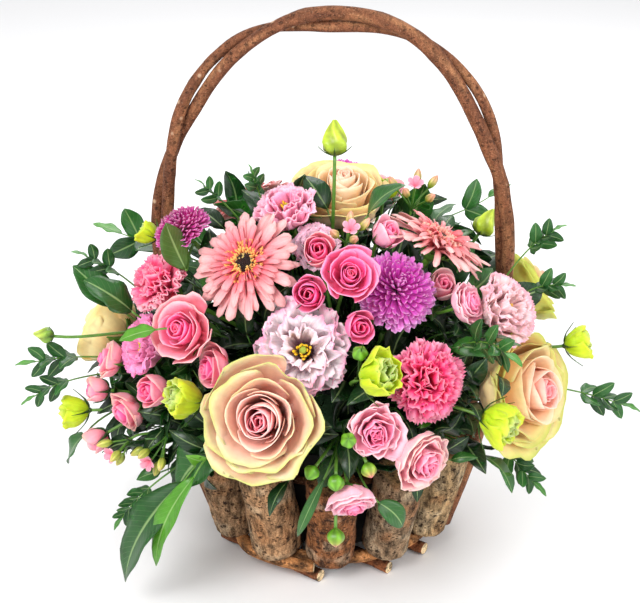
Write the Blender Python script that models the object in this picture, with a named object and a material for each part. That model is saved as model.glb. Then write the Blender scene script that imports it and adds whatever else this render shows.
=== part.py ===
"""A flower basket: cut flowers standing in floral foam, inside a basket of upright logs.

Four ground sticks carry a hoop, the hoop carries twelve leaning logs, and a rim hoop inside the logs keeps
them apart. Two vines twist into the handle. A plastic liner in the basket holds the foam, and every flower
stem stands in its own hole in it. Metres, +Z up, front towards -Y. The origin is under the basket's middle.

The flowers are laid out as a florist would: each head has a bearing (degrees from the front, towards the
right), a rise (degrees above the horizontal) and a reach (mm) from one point in the foam, its heart.
"""

import math

import bpy
import numpy as np
from mathutils import Matrix, Vector

MM = 0.001
GAP = 0.3 * MM
UP = Vector((0, 0, 1))

# Basket
STICK_RADIUS = 6 * MM
STICK_OFFSETS = (90, 43, 0, -80)  # mm, across the sticks: the third runs under the basket's middle
STICK_SIDES = 8
STICK_TURN = math.radians(-37)
BASE_REACH = 106 * MM  # how far from the middle the sticks' ends lie
HOOP_RADIUS = 96 * MM
HOOP_THICK = 6 * MM
HOOP_OVERLAP = math.radians(34)  # how far the base hoop's ends pass each other
LOG_COUNT = 12
LOG_RADIUS = 22.3 * MM
LOG_LEAN = math.radians(14)
LOG_SIDES = 10
LOG_RINGS = ((0, 0.9), (0.07, 1.0), (0.95, 1.0), (1.0, 0.93))  # (share of its length, share of its radius)
RIM_TOP = 110 * MM
RIM_HOOP_THICK = 4 * MM
RIM_HOOP_DROP = 22 * MM  # how far the rim hoop is below the logs' tops
LINER_WALL = 1.2 * MM
LINER_LOW_RADIUS = 68 * MM
LINER_HIGH_RADIUS = 80.5 * MM
FOAM_TOP = 182 * MM
FOAM_RADIUS = 65 * MM
FOAM_SHOULDER = 36 * MM
HOLE_CLEARANCE = 0.6 * MM

# Handle
HANDLE_TOP = 478 * MM
HANDLE_HALF_WIDTH = 150 * MM
HANDLE_WIDEST = 240 * MM
HANDLE_FOOT = 12 * MM
HANDLE_SQUARENESS = 2.4
HANDLE_STATIONS = 43
# (mm along the handle from its top, positive to the right, and degrees that vine a has turned about vine b)
HANDLE_TWIST = ((-480, -270), (-330, -270), (-250, -330), (-190, -270), (-140, -180), (-75, -120), (0, 0),
                (83, -90), (150, -180), (210, -90), (280, -50), (330, -90), (480, -90))
VINE_RADII = {"a": (6.9, 4.8), "b": (4.2, 5.2)}  # mm, at the right foot and at the left foot
VINE_GAP = 1.2 * MM
FEET_APART = 55 * MM  # between the middles of the two vines, where they stand behind the logs

# Flowers
HEART = Vector((0, 0, 135 * MM))
STEM_END = 30 * MM  # stems stop this far from the heart
FORK = 80 * MM  # sprays branch this far from the heart
LEAST_ENTRY_RISE = 6
ENTRY_SPACING = 15  # degrees between two stems in the foam
ENTRY_PUSH = 0.004  # share of what is missing that one round of pushing adds
ENTRY_ROUNDS = 300
BRANCH_STEP = 1.7 * MM  # between two branches of one stem

STICK_TOP = 2 * STICK_RADIUS * math.cos(math.pi / STICK_SIDES)
HOOP_LEVEL = STICK_TOP + GAP + HOOP_THICK
LOG_FOOT = HOOP_LEVEL + HOOP_THICK + GAP

# Each form of head is turned from rings on its axis, which points the way the flower faces:
# (points around, petals around, lower pole, upper pole, rings from the lower pole to the upper).
# A ring is (radius, height, change of radius, change of height), as shares of half the head's width.
# The changes follow the petals round: +1 at a petal's middle and -1 between two petals.
FORMS = {
    "rose": (15, 5, -0.85, 0.26, [(.62, -.5, .02, 0), (1, .14, .06, .08), (.84, .0, .03, .0),
                                  (.72, .3, -.05, -.07), (.5, .12, -.02, 0), (.4, .42, .04, .05)]),
    "spray_rose": (10, 5, -0.85, 0.2, [(.78, -.36, .02, 0), (1, .16, .06, .07), (.74, .04, .02, 0),
                                       (.52, .4, -.05, -.05)]),
    "rosebud": (8, 4, -0.95, 0.6, [(.8, -.4, .03, 0), (1, .3, .05, .05), (.5, .38, 0, 0)]),
    "gerbera": (26, 13, -0.3, 0.2, [(.2, -.12, 0, 0), (.8, .0, .2, .03), (.8, .03, .2, .03), (.4, .04, 0, 0),
                                    (.58, .15, .14, .03), (.26, .1, 0, 0)]),
    "carnation": (16, 8, -0.95, 0.46, [(.4, -.4, 0, 0), (1, -.06, .07, .09), (.84, .0, -.02, 0),
                                       (.8, .3, -.07, -.07), (.58, .22, 0, 0), (.48, .52, .05, .06)]),
    "chrysanthemum": (16, 8, -0.5, 0.72, [(.3, -.48, 0, 0), (.86, -.3, .06, 0), (1, -.02, -.06, .03),
                                          (.92, .28, .06, .03), (.72, .5, -.06, .04), (.42, .68, .05, .03)]),
    "lisianthus": (15, 5, -0.8, 0.02, [(.42, -.36, 0, 0), (1, .06, .1, .12), (.8, .03, .02, 0),
                                       (.7, .26, -.09, -.1), (.44, .08, 0, 0), (.34, .3, .05, .05)]),
    "green_cup": (10, 5, -1.1, 0.2, [(.76, -.5, .03, 0), (1, .5, .1, .1), (.55, .3, .03, 0)]),
    "floret": (10, 5, -1.2, 0.05, [(.24, -.5, 0, 0), (.8, .06, .24, .1)]),
}
# Buds are one piece with their stalks: (sides, rings of (height, radius) as shares of half the bud's width)
BUDS = {
    "closed_bud": (6, [(-1, .35), (-.6, .8), (.1, 1), (.9, .6), (1.6, .1)]),
    "round_bud": (5, [(-1, .25), (-.5, .85), (.3, .95), (1, .35)]),
    "tiny_bud": (4, [(-1.3, .3), (-.2, 1), (.8, .8), (1.6, .15)]),
}

# A node's heads: (form, bearing, rise, reach, width, bearing it faces, rise it faces)
FLOWERS = {
    "rose_front": [("rose", -17, 21, 201, 86, -8, 24)],
    "rose_right": [("rose", 60, 16, 197, 94, 52, 14)],
    "rose_top": [("rose", 120, 87, 193, 74, 10, 76)],
    "rose_left": [("rose", -83, 21, 216, 62, -115, 20)],
    "rose_right_rear": [("rose", 105, 24, 206, 62, 105, 30)],
    "rose_rear": [("rose", 180, 32, 190, 78, 180, 35)],
    "gerbera_left": [("gerbera", -36, 55, 204, 96, -25, 42)],
    "gerbera_right": [("gerbera", 58, 59, 199, 98, 98, 62)],
    "gerbera_rear": [("gerbera", -150, 40, 200, 92, -150, 40)],
    "carnation_left": [("carnation", -64, 41, 216, 54, -60, 42)],
    "carnation_front": [("carnation", 28, 28, 184, 66, 20, 25)],
    "carnation_rear": [("carnation", 142, 24, 192, 60, 140, 25)],
    "lisianthus_low_left": [("lisianthus", -62, 26, 200, 50, -60, 25)],
    "lisianthus_centre": [("lisianthus", -10, 39, 173, 75, -2, 30)],
    "lisianthus_upper": [("lisianthus", -39, 73, 207, 51, -40, 70), ("lisianthus", -10, 67, 188, 38, 0, 47)],
    "lisianthus_right": [("lisianthus", 57, 37, 213, 56, 55, 40)],
    "chrysanthemum_right": [("chrysanthemum", 28, 53, 180, 66, 25, 50)],
    "chrysanthemum_left": [("chrysanthemum", -65, 53, 227, 48, -80, 62)],
    "chrysanthemum_rear": [("chrysanthemum", 175, 61, 192, 56, 175, 61)],
    "spray_rose_left": [("spray_rose", -46, 35, 207, 50, -25, 33), ("spray_rose", -38, 29, 182, 36, -60, 12),
                        ("rosebud", -55, 17, 191, 31, -45, 15)],
    "spray_rose_centre": [("spray_rose", 6, 53, 218, 42, 8, 36), ("rosebud", -6, 60, 212, 30, -5, 38),
                          ("rosebud", -8, 50, 205, 31, -10, 28), ("rosebud", 9, 44, 187, 28, 18, 22)],
    "spray_rose_low": [("spray_rose", 11, 18, 189, 41, 8, 16), ("spray_rose", 23, 9, 190, 46, 38, -5),
                       ("spray_rose", 5, -1, 184, 36, 15, -40), ("round_bud", 4, 17, 194, 13, 0, 40),
                       ("round_bud", -5, 8, 186, 13, -30, -20), ("round_bud", 1, 6, 190, 14, 0, -30),
                       ("round_bud", 9, 9, 190, 13, 20, -30), ("round_bud", 1, -10, 190, 15, 0, -70)],
    "spray_rose_right": [("rosebud", 52, 50, 179, 28, 20, 50), ("spray_rose", 47, 42, 204, 31, 60, 30),
                         ("rosebud", 33, 66, 200, 28, 60, 50)],
    "spray_rose_far_left": [("spray_rose", -68, 19, 217, 31, -85, 20),
                            ("spray_rose", -64, 7, 198, 34, -50, -15),
                            ("rosebud", -69, -2, 219, 25, -75, -30), ("rosebud", -71, 10, 218, 25, -80, 10)],
    "spray_rose_rear": [("spray_rose", -172, 8, 190, 38, -170, 10), ("spray_rose", 164, 4, 186, 34, 165, 0),
                        ("rosebud", 158, 46, 200, 34, 150, 45)],
    "green_lisianthus_front": [("green_cup", 13, 32, 206, 40, 58, 30), ("round_bud", 8, 37, 196, 13, 0, 60),
                               ("green_cup", 40, 15, 222, 40, 60, -10)],
    "green_lisianthus_left": [("green_cup", -43, 20, 195, 38, -70, 20),
                              ("green_cup", -73, 4, 238, 32, -88, 0)],
    "green_lisianthus_far_left": [("green_cup", -75, 47, 238, 22, -100, 30),
                                  ("closed_bud", -73, 20, 268, 13, -90, 8)],
    "green_lisianthus_right": [("green_cup", 74, 20, 236, 30, 84, 16),
                               ("closed_bud", 104, 47, 204, 20, 95, 60),
                               ("green_cup", 134, 69, 193, 22, 90, 70)],
    "green_lisianthus_top": [("closed_bud", 2, 81, 255, 22, 180, 78)],
}

# Clusters of small buds round an open floret. A row is the bearing, rise and reach of the cluster's middle,
# the bearing and rise it faces, its half-width in mm and its buds.
CLUSTERS = {
    "florets_low_left": [(-54, -2, 191, -45, -35, 18, 4), (-62, -2, 212, -65, -30, 14, 3)],
    "florets_top": [(97, 70, 208, 20, 75, 18, 5), (10, 67, 208, 20, 60, 13, 4)],
}
FLORET_WIDTH = 15
FLORET_BUD_WIDTH = 8

# Leaves, by node. A sprig is (bearing, rise and reach of its tip, leaf length, leaf width, pairs of leaves,
# share of its stem that is bare, degrees its tip nods). A blade is one large leaf: (bearing, rise and reach
# of its base, then of its tip, width).
SPRIGS = {
    "foliage_left": [(-76, 36, 262, 20, 11, 2, 0.8, 10), (-74, 14, 271, 24, 12, 2, 0.78, 20),
                     (-74, 7, 268, 20, 9, 2, 0.8, 38)],
    "foliage_low_left": [(-53, -13, 228, 17, 8, 3, 0.74, 35)],
    "foliage_top": [(-69, 62, 241, 16, 8, 2, 0.84, 20), (-60, 71, 236, 14, 8, 2, 0.86, 0)],
    "foliage_front": [(40, 30, 243, 26, 12, 3, 0.66, 50)],
    "foliage_right": [(81, 42, 252, 20, 11, 2, 0.84, 10), (72, 34, 240, 20, 10, 2, 0.84, 34),
                      (79, 3, 260, 24, 12, 2, 0.76, 20), (56, -7, 208, 22, 11, 2, 0.76, 30)],
    "foliage_rear": [(-135, 10, 236, 40, 20, 2, 0.66, 20), (-108, 32, 240, 40, 24, 1, 0.74, 20),
                     (125, 40, 232, 36, 20, 1, 0.7, 20), (-158, 20, 226, 36, 22, 1, 0.7, 20)],
}
BLADES = {
    "foliage_left": [(-74, 30, 222, -77, 33, 267, 27), (-66, 32, 216, -69, 34, 262, 30),
                     (-74, -3, 226, -76, -10, 246, 23)],
    "foliage_low_left": [(-40, -2, 190, -50, -24, 257, 34), (-35, 2, 195, -42, -19, 237, 20),
                         (-33, 7, 160, -43, -5, 192, 40)],
    "florets_top": [(32, 74, 197, 50, 71, 232, 26)],
    "spray_rose_right": [(67, 48, 198, 61, 58, 182, 20)],
    "spray_rose_low": [(-2, 5, 176, -10, -16, 176, 9), (12, -2, 180, 19, -10, 186, 18)],
    "spray_rose_left": [(-49, 33, 224, -54, 28, 240, 15)],
    "chrysanthemum_left": [(-55, 47, 214, -53, 51, 265, 24)],
}
STEM_RADII = {"rose": 2.8, "gerbera": 2.6, "carnation": 2.0, "chrysanthemum": 2.2, "lisianthus": 2.0,
              "closed_bud": 1.5}
MAIN_RADIUS = 2.4
BRANCH_RADIUS = 1.4
SPRIG_RADIUS = 1.3
LEAF_THICK = 0.9 * MM
SMALL_LEAF = ((0.45, 1),)  # where along a small leaf it is widest
SMALL_LEAF_ARCH = 0.05
LARGE_LEAF = ((0.3, 0.88), (0.66, 0.8))  # (share of its length, share of its half-width there)
LARGE_LEAF_ARCH = 0.06

COLOURS = {
    "rose": (0.93, 0.78, 0.62), "gerbera": (0.95, 0.55, 0.53), "carnation": (0.93, 0.4, 0.53),
    "lisianthus": (0.93, 0.72, 0.82), "chrysanthemum": (0.64, 0.33, 0.73), "spray_rose": (0.93, 0.42, 0.57),
    "green_lisianthus": (0.68, 0.8, 0.16), "florets": (0.85, 0.62, 0.5), "foliage": (0.1, 0.26, 0.07),
    "log": (0.42, 0.33, 0.25), "base": (0.45, 0.28, 0.17), "rim": (0.36, 0.23, 0.15),
    "handle": (0.34, 0.21, 0.14),
    "liner": (0.12, 0.13, 0.12), "floral": (0.12, 0.3, 0.16),
}
WOODY = ("log", "base", "rim", "handle", "floral")
WOOD_ROUGHNESS = 0.85
SOFT_ROUGHNESS = 0.55
SHARP_ANGLE = math.radians(40)


def heading(bearing, rise):
    """The unit vector at a bearing from the front and a rise above the horizontal, in degrees."""
    b, r = math.radians(bearing), math.radians(rise)
    return Vector((math.sin(b) * math.cos(r), -math.cos(b) * math.cos(r), math.sin(r)))


def clear_scene():
    for obj in list(bpy.data.objects):
        bpy.data.objects.remove(obj)


def material_for(name):
    """A node's own Principled material, of the colour that the start of its name stands for."""
    kind = max((k for k in COLOURS if name.startswith(k)), key=len)
    made = bpy.data.materials.new(name)
    made.use_nodes = True
    shader = made.node_tree.nodes["Principled BSDF"]
    shader.inputs["Base Color"].default_value = (*COLOURS[kind], 1)
    shader.inputs["Roughness"].default_value = WOOD_ROUGHNESS if kind in WOODY else SOFT_ROUGHNESS
    return made


def new_object(name, points, faces, collection=None):
    mesh = bpy.data.meshes.new(name)
    mesh.from_pydata([tuple(p) for p in points], [], faces)
    obj = bpy.data.objects.new(name, mesh)
    (collection or bpy.context.scene.collection).objects.link(obj)
    return obj


def finished(obj):
    obj.data.materials.clear()
    obj.data.materials.append(material_for(obj.name))
    obj.data.shade_smooth()
    obj.data.set_sharp_from_angle(angle=SHARP_ANGLE)
    return obj


def ring_faces(rings, around):
    """Faces of a closed skin: two poles (points 0 and 1), then the rings in order from pole 0 to pole 1."""
    faces = []
    for j in range(around):
        k = (j + 1) % around
        faces.append((0, 2 + k, 2 + j))
        last = 2 + (rings - 1) * around
        faces.append((1, last + j, last + k))
        for i in range(rings - 1):
            low, high = 2 + i * around, 2 + (i + 1) * around
            faces.append((low + j, low + k, high + k, high + j))
    return faces


def head_mesh(form, width):
    """Points and faces of one turned head, about the origin and facing +Z."""
    around, petals, low, high, rings = FORMS[form]
    half = width * MM / 2
    points = [Vector((0, 0, low * half)), Vector((0, 0, high * half))]
    for radius, height, d_radius, d_height in rings:
        for j in range(around):
            turn = 2 * math.pi * j / around
            wave = math.cos(petals * turn)
            r = (radius + d_radius * wave) * half
            points.append(Vector((r * math.cos(turn), r * math.sin(turn), (height + d_height * wave) * half)))
    return points, ring_faces(len(rings), around)


def placed(points, centre, facing, roll=0.0):
    """The points turned so that +Z faces that way, and moved to the centre."""
    turn = facing.to_track_quat("Z", "Y").to_matrix().to_4x4() @ Matrix.Rotation(roll, 4, "Z")
    matrix = Matrix.Translation(centre) @ turn
    return [matrix @ p for p in points]


def bezier(a, b, c, d, steps):
    """Points on the cubic Bezier curve with these four control points."""
    found = []
    for i in range(steps + 1):
        t = i / steps
        s = 1 - t
        found.append(a * s**3 + b * (3 * s * s * t) + c * (3 * s * t * t) + d * t**3)
    return found


def tube_mesh(path, radii, sides):
    """A tube along a path, with pointed ends. Each ring keeps its turn from the one before it."""
    path = [Vector(p) for p in path]
    points = [path[0], path[-1]]
    across = (path[1] - path[0]).orthogonal().normalized()
    for i, p in enumerate(path):
        along = (path[min(i + 1, len(path) - 1)] - path[max(i - 1, 0)]).normalized()
        across = (across - along * across.dot(along)).normalized()
        other = along.cross(across)
        for j in range(sides):
            turn = 2 * math.pi * j / sides
            points.append(p + (across * math.cos(turn) + other * math.sin(turn)) * radii[i])
    return points, ring_faces(len(path), sides)


def leaf_mesh(base, tip, normal, width, arch, places):
    """One blade from its base to its tip: thickest at the rib, arched by a share of its length."""
    along = tip - base
    length = along.length
    side = normal.cross(along).normalized()
    normal = along.cross(side).normalized()
    points = [base, tip]
    for place, share in places:
        p = base + along * place + normal * (arch * length * 4 * place * (1 - place))
        points += [p + side * (width * MM / 2 * share), p + normal * LEAF_THICK,
                   p - side * (width * MM / 2 * share), p - normal * LEAF_THICK]
    return points, ring_faces(len(places), 4)


def fuse(name, pieces):
    """One object that is the union of these closed meshes.

    Leaves and stalks cross in many shallow cuts, on which EXACT is slow, so the solver is MANIFOLD.
    """
    first, *rest = pieces
    obj = new_object(name, *first)
    if rest:
        helpers = bpy.data.collections.new(name + "_pieces")
        bpy.context.scene.collection.children.link(helpers)
        for i, piece in enumerate(rest):
            new_object(f"{name}_piece_{i}", *piece, collection=helpers)
        union = obj.modifiers.new("fuse", "BOOLEAN")
        union.operation = "UNION"
        union.solver = "MANIFOLD"
        union.operand_type = "COLLECTION"
        union.collection = helpers
        apply_modifiers(obj)
        for helper in list(helpers.objects):
            bpy.data.objects.remove(helper)
        bpy.data.collections.remove(helpers)
    return obj


def apply_modifiers(obj):
    graph = bpy.context.evaluated_depsgraph_get()
    made = bpy.data.meshes.new_from_object(obj.evaluated_get(graph))
    obj.modifiers.clear()
    obj.data = made


def log_radius_at(height):
    """How far the middle of the logs is from the basket's axis at this height."""
    return HOOP_RADIUS + (height - LOG_FOOT) * math.tan(LOG_LEAN)


def make_sticks():
    """The ground sticks, side by side, each cut where it reaches the basket's foot circle."""
    along = Vector((math.cos(STICK_TURN), math.sin(STICK_TURN), 0))
    across = Vector((along.y, -along.x, 0))
    for i, offset in enumerate(STICK_OFFSETS):
        half = math.sqrt(BASE_REACH**2 - (offset * MM) ** 2)
        middle = across * (offset * MM) + UP * (STICK_TOP / 2)
        bpy.ops.mesh.primitive_cylinder_add(vertices=STICK_SIDES, radius=STICK_RADIUS, depth=2 * half)
        stick = bpy.context.object
        stick.name = f"base_stick_{i + 1}"
        flat = Matrix.Rotation(math.pi / STICK_SIDES, 4, "Z")  # a flat side is down
        turn = along.to_track_quat("Z", "Y").to_matrix().to_4x4() @ flat
        stick.data.transform(Matrix.Translation(middle) @ turn)
        finished(stick)


def make_hoops():
    """The base hoop's ends pass each other at the front left. The rim hoop stands inside the logs."""
    steps = 27
    start = math.radians(-8)
    path = []
    for i in range(steps + 1):
        turn = (2 * math.pi + HOOP_OVERLAP) * i / steps
        outward = max(0.0, 1 - turn / (1.6 * HOOP_OVERLAP))
        reach = HOOP_RADIUS + (2 * HOOP_THICK + 4 * GAP) * min(1.0, 2.8 * outward)
        angle = start - turn
        path.append(Vector((reach * math.sin(angle), -reach * math.cos(angle), HOOP_LEVEL)))
    finished(new_object("base_hoop", *tube_mesh(path, [HOOP_THICK] * len(path), 6)))
    level = RIM_TOP - RIM_HOOP_DROP
    reach = log_radius_at(level) - LOG_RADIUS * 1.08 - RIM_HOOP_THICK
    bpy.ops.mesh.primitive_torus_add(major_radius=reach, minor_radius=RIM_HOOP_THICK, major_segments=24,
                                     minor_segments=4, location=(0, 0, level))
    rim = bpy.context.object
    rim.name = "rim_hoop"
    finished(rim)


def make_logs():
    """Upright rounds of wood, which stand on the base hoop, lean outwards and differ a little."""
    rng = np.random.default_rng(12)
    for i in range(LOG_COUNT):
        bearing = 2 * math.pi * i / LOG_COUNT
        outward = Vector((math.sin(bearing), -math.cos(bearing), 0))
        sideways = Vector((-outward.y, outward.x, 0))
        radius = LOG_RADIUS * rng.uniform(0.93, 1.06)
        top = RIM_TOP + rng.uniform(-4, 4) * MM
        ends = [outward * log_radius_at(z) + UP * z for z in (LOG_FOOT, top)]
        points = list(ends)
        for share, swell in LOG_RINGS:
            middle = ends[0].lerp(ends[1], share)
            for j in range(LOG_SIDES):
                turn = 2 * math.pi * j / LOG_SIDES
                r = radius * swell * rng.uniform(0.97, 1.02)
                points.append(middle + outward * (r * math.cos(turn)) + sideways * (r * math.sin(turn)))
        finished(new_object(f"log_{i + 1:02d}", points, ring_faces(len(LOG_RINGS), LOG_SIDES)))


def handle_line(steps):
    """The handle's middle line, from its right foot over the top to its left one, and its running length."""
    foot = Vector((HOOP_RADIUS * 1.08, 0, HANDLE_FOOT))
    rise = HANDLE_WIDEST - HANDLE_FOOT
    side = []
    for i in range(steps):
        t = i / steps
        x = HANDLE_HALF_WIDTH - (HANDLE_HALF_WIDTH - foot.x) * (1 - t) ** 1.7
        side.append(Vector((x, 0, HANDLE_FOOT + rise * t)))
    arch = []
    for i in range(steps + 1):
        angle = math.pi / 2 * i / steps
        power = 2 / HANDLE_SQUARENESS
        arch.append(Vector((HANDLE_HALF_WIDTH * math.cos(angle) ** power, 0,
                            HANDLE_WIDEST + (HANDLE_TOP - HANDLE_WIDEST) * math.sin(angle) ** power)))
    right = side + arch
    left = [Vector((-p.x, 0, p.z)) for p in reversed(right[:-1])]
    line = right + left
    lengths = np.cumsum([0.0] + [(b - a).length for a, b in zip(line, line[1:])])
    return line, lengths


def make_handle():
    """Two vines that pass over each other along the handle. At each foot one is in front and one behind."""
    line, lengths = handle_line(28)
    middle = lengths[-1] / 2
    where = [place * MM for place, _ in HANDLE_TWIST]
    angle = [math.radians(degrees) for _, degrees in HANDLE_TWIST]
    paths, radii = {"a": [], "b": []}, {"a": [], "b": []}
    for i in range(HANDLE_STATIONS):
        share = i / (HANDLE_STATIONS - 1)
        s = lengths[-1] * share
        k = min(int(np.searchsorted(lengths, s, side="right")) - 1, len(line) - 2)
        t = (s - lengths[k]) / (lengths[k + 1] - lengths[k])
        p = line[k].lerp(line[k + 1], t)
        along = (line[k + 1] - line[k]).normalized()
        outward = Vector((along.z, 0, -along.x))
        down = middle - s
        turn = float(np.mean(np.interp([down - 15 * MM, down, down + 15 * MM], where, angle)))
        thick = {key: (right + (left - right) * share) * MM for key, (right, left) in VINE_RADII.items()}
        apart = thick["a"] + thick["b"] + VINE_GAP
        spread = max(0.0, 1 - (p.z - HANDLE_FOOT) / (HANDLE_WIDEST - HANDLE_FOOT)) ** 0.8
        apart += (FEET_APART - apart) * min(1.0, 1.7 * spread)
        offset = outward * math.cos(turn) + Vector((0, 1, 0)) * math.sin(turn)
        paths["a"].append(p + offset * (apart / 2))
        paths["b"].append(p - offset * (apart / 2))
        for key in radii:
            radii[key].append(thick[key])
    for key, path in paths.items():
        finished(new_object(f"handle_vine_{key}", *tube_mesh(path, radii[key], 6)))


def turned(name, profile, sides):
    """A solid turned about the basket's axis, from its (radius, height) profile, lower pole to upper."""
    points = [Vector((0, 0, profile[0][1])), Vector((0, 0, profile[-1][1]))]
    for radius, height in profile[1:-1]:
        for j in range(sides):
            turn = 2 * math.pi * j / sides
            points.append(Vector((radius * math.cos(turn), radius * math.sin(turn), height)))
    return new_object(name, points, ring_faces(len(profile) - 2, sides))


def make_liner():
    """The liner, an open tub. Returns the height of the foam's foot in it."""
    floor = STICK_TOP + 2 * GAP
    top = RIM_TOP + 3 * MM
    profile = [(0, floor), (LINER_LOW_RADIUS, floor), (LINER_HIGH_RADIUS, top),
               (LINER_HIGH_RADIUS - LINER_WALL, top), (LINER_LOW_RADIUS - LINER_WALL, floor + LINER_WALL),
               (0, floor + LINER_WALL)]
    finished(turned("liner", profile, 20))
    return floor + LINER_WALL + GAP


def make_foam(foot, stems):
    """The foam block, with a plain hole for each stem, cut by the same solver as the unions."""
    profile = [(0, foot), (FOAM_RADIUS, foot), (FOAM_RADIUS + 4 * MM, FOAM_TOP - FOAM_SHOULDER),
               (FOAM_RADIUS - FOAM_SHOULDER / 2, FOAM_TOP), (0, FOAM_TOP)]
    foam = turned("floral_foam", profile, 12)
    holes = bpy.data.collections.new("holes")
    bpy.context.scene.collection.children.link(holes)
    for name, start, out, radius in stems:
        path = [start + (start - out).normalized() * (2 * MM), out]
        hole = tube_mesh(path, [radius + HOLE_CLEARANCE] * 2, 5)
        new_object(name + "_hole", *hole, collection=holes)
    cut = foam.modifiers.new("holes", "BOOLEAN")
    cut.operation = "DIFFERENCE"
    cut.solver = "MANIFOLD"
    cut.operand_type = "COLLECTION"
    cut.collection = holes
    apply_modifiers(foam)
    for hole in list(holes.objects):
        bpy.data.objects.remove(hole)
    bpy.data.collections.remove(holes)
    finished(foam)


def spread_entries(wanted):
    """Unit vectors near the wanted ones, pushed apart until their stems clear each other in the foam."""
    found = np.array(wanted)
    for _ in range(ENTRY_ROUNDS):
        cosine = np.clip(found @ found.T, -1, 1)
        angle = np.degrees(np.arccos(cosine))
        push = np.clip(ENTRY_SPACING - angle, 0, None)
        np.fill_diagonal(push, 0)
        away = found[:, None, :] - found[None, :, :]
        found = found + ENTRY_PUSH * (push[:, :, None] * away).sum(axis=1)
        found[:, 2] = np.maximum(found[:, 2], math.sin(math.radians(LEAST_ENTRY_RISE)))
        found /= np.linalg.norm(found, axis=1, keepdims=True)
    return [Vector(v) for v in found]


def headed(form, centre, facing, width, path, leaving, radius, sides=3):
    """One head and its stalk, as closed meshes. The stalk follows the path and meets the head from behind."""
    half = width * MM / 2
    if form in BUDS:
        around, rings = BUDS[form]
        path = [*path, *stem_path(path[-1], leaving, centre + facing * (rings[0][0] * half), facing, 2)[1:-1]]
        radii = [radius * MM] * len(path) + [share * half for _, share in rings]
        path += [centre + facing * (height * half) for height, _ in rings]
        return [tube_mesh(path, radii, around)]
    points, faces = head_mesh(form, width)
    base = centre + facing * (FORMS[form][2] * 0.94 * half)
    path = [*path, *stem_path(path[-1], leaving, base, facing, 2)[1:]]
    return [tube_mesh(path, [radius * MM] * len(path), sides), (placed(points, centre, facing), faces)]


def stem_path(start, leaving, end, arriving, steps):
    """From a start inside the foam, or at a fork, out to a head's base, which it meets from behind."""
    length = (end - start).length
    return bezier(start, start + leaving * (length * 0.4), end - arriving * (length * 0.25), end, steps)


def cluster_heads(row):
    """The heads of one cluster, an open floret in a ring of buds, and where their stalks part."""
    bearing, rise, reach, face_bearing, face_rise, spread, buds = row
    rng = np.random.default_rng(31)
    middle, facing = HEART + heading(bearing, rise) * (reach * MM), heading(face_bearing, face_rise)
    frame = facing.to_track_quat("Z", "Y")
    heads = [("floret", middle + facing * (4 * MM), facing, FLORET_WIDTH)]
    for i in range(buds):
        turn = 2 * math.pi * (i + rng.uniform(-0.2, 0.2)) / buds
        share = 1 - 0.25 * (i % 2)
        offset = Vector((math.cos(turn) * share, math.sin(turn) * share, 0.2 - 0.35 * share))
        aim = (facing + frame @ Vector((offset.x, offset.y, 0)) * 0.7).normalized()
        heads.append(("tiny_bud", middle + frame @ offset * (spread * MM), aim, FLORET_BUD_WIDTH))
    return heads, middle - facing * (1.4 * spread * MM), facing


def branch_mesh(fork, onward, end, arriving, radius, steps=2):
    """A thin branch that leaves the fork halfway between the main stem's way and its own."""
    leaving = (onward + (end - fork).normalized()).normalized()
    path = stem_path(fork, leaving, end, arriving, steps)
    return tube_mesh(path, [radius * MM * (1 - 0.25 * i / steps) for i in range(steps + 1)], 3), path


def sprig_pieces(fork, onward, row):
    """The stem and the leaves of one sprig. Leaves stand in pairs, each pair turned across the one before."""
    bearing, rise, reach, length, width, pairs, bare, nod = row
    tip = HEART + heading(bearing, rise) * (reach * MM)
    steps = 3
    stem, path = branch_mesh(fork, onward, tip, heading(bearing, rise - nod), SPRIG_RADIUS, steps)
    pieces = [stem]
    for i in range(pairs):
        share = (bare + (1 - bare) * i / pairs) * steps
        k = min(int(share), steps - 1)
        base = path[k].lerp(path[k + 1], share - k)
        along = (path[k + 1] - path[k]).normalized()
        flat = along.cross(UP).normalized()
        across = flat if i % 2 == 0 else flat.cross(along)
        for side in (-1, 1):
            out = (along + across * side).normalized()
            face = along.cross(across)
            leaf_tip = base + out * (length * MM)
            pieces.append(leaf_mesh(base, leaf_tip, face, width, SMALL_LEAF_ARCH, SMALL_LEAF))
    end = (path[3] - path[2]).normalized()
    face = end.cross(UP).normalized().cross(end)
    base, tip = path[3] - end * (2 * MM), path[3] + end * (length * 0.8 * MM)
    pieces.append(leaf_mesh(base, tip, face, width * 0.8, SMALL_LEAF_ARCH, SMALL_LEAF))
    return pieces


def blade_pieces(fork, onward, row):
    """One large leaf, facing away from the heart, and its stalk."""
    base, tip = (HEART + heading(*row[i:i + 2]) * (row[i + 2] * MM) for i in (0, 3))
    along = (tip - base).normalized()
    outward = ((base + tip) / 2 - HEART).normalized() + UP * 0.8
    leaf, faces = leaf_mesh(base, tip, outward, row[6], LARGE_LEAF_ARCH, LARGE_LEAF)
    rib = (leaf[3] + leaf[5]) / 2
    stem, _ = branch_mesh(fork, onward, rib, (along + (rib - fork).normalized()).normalized(), SPRIG_RADIUS)
    return [stem, (leaf, faces)]


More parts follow.
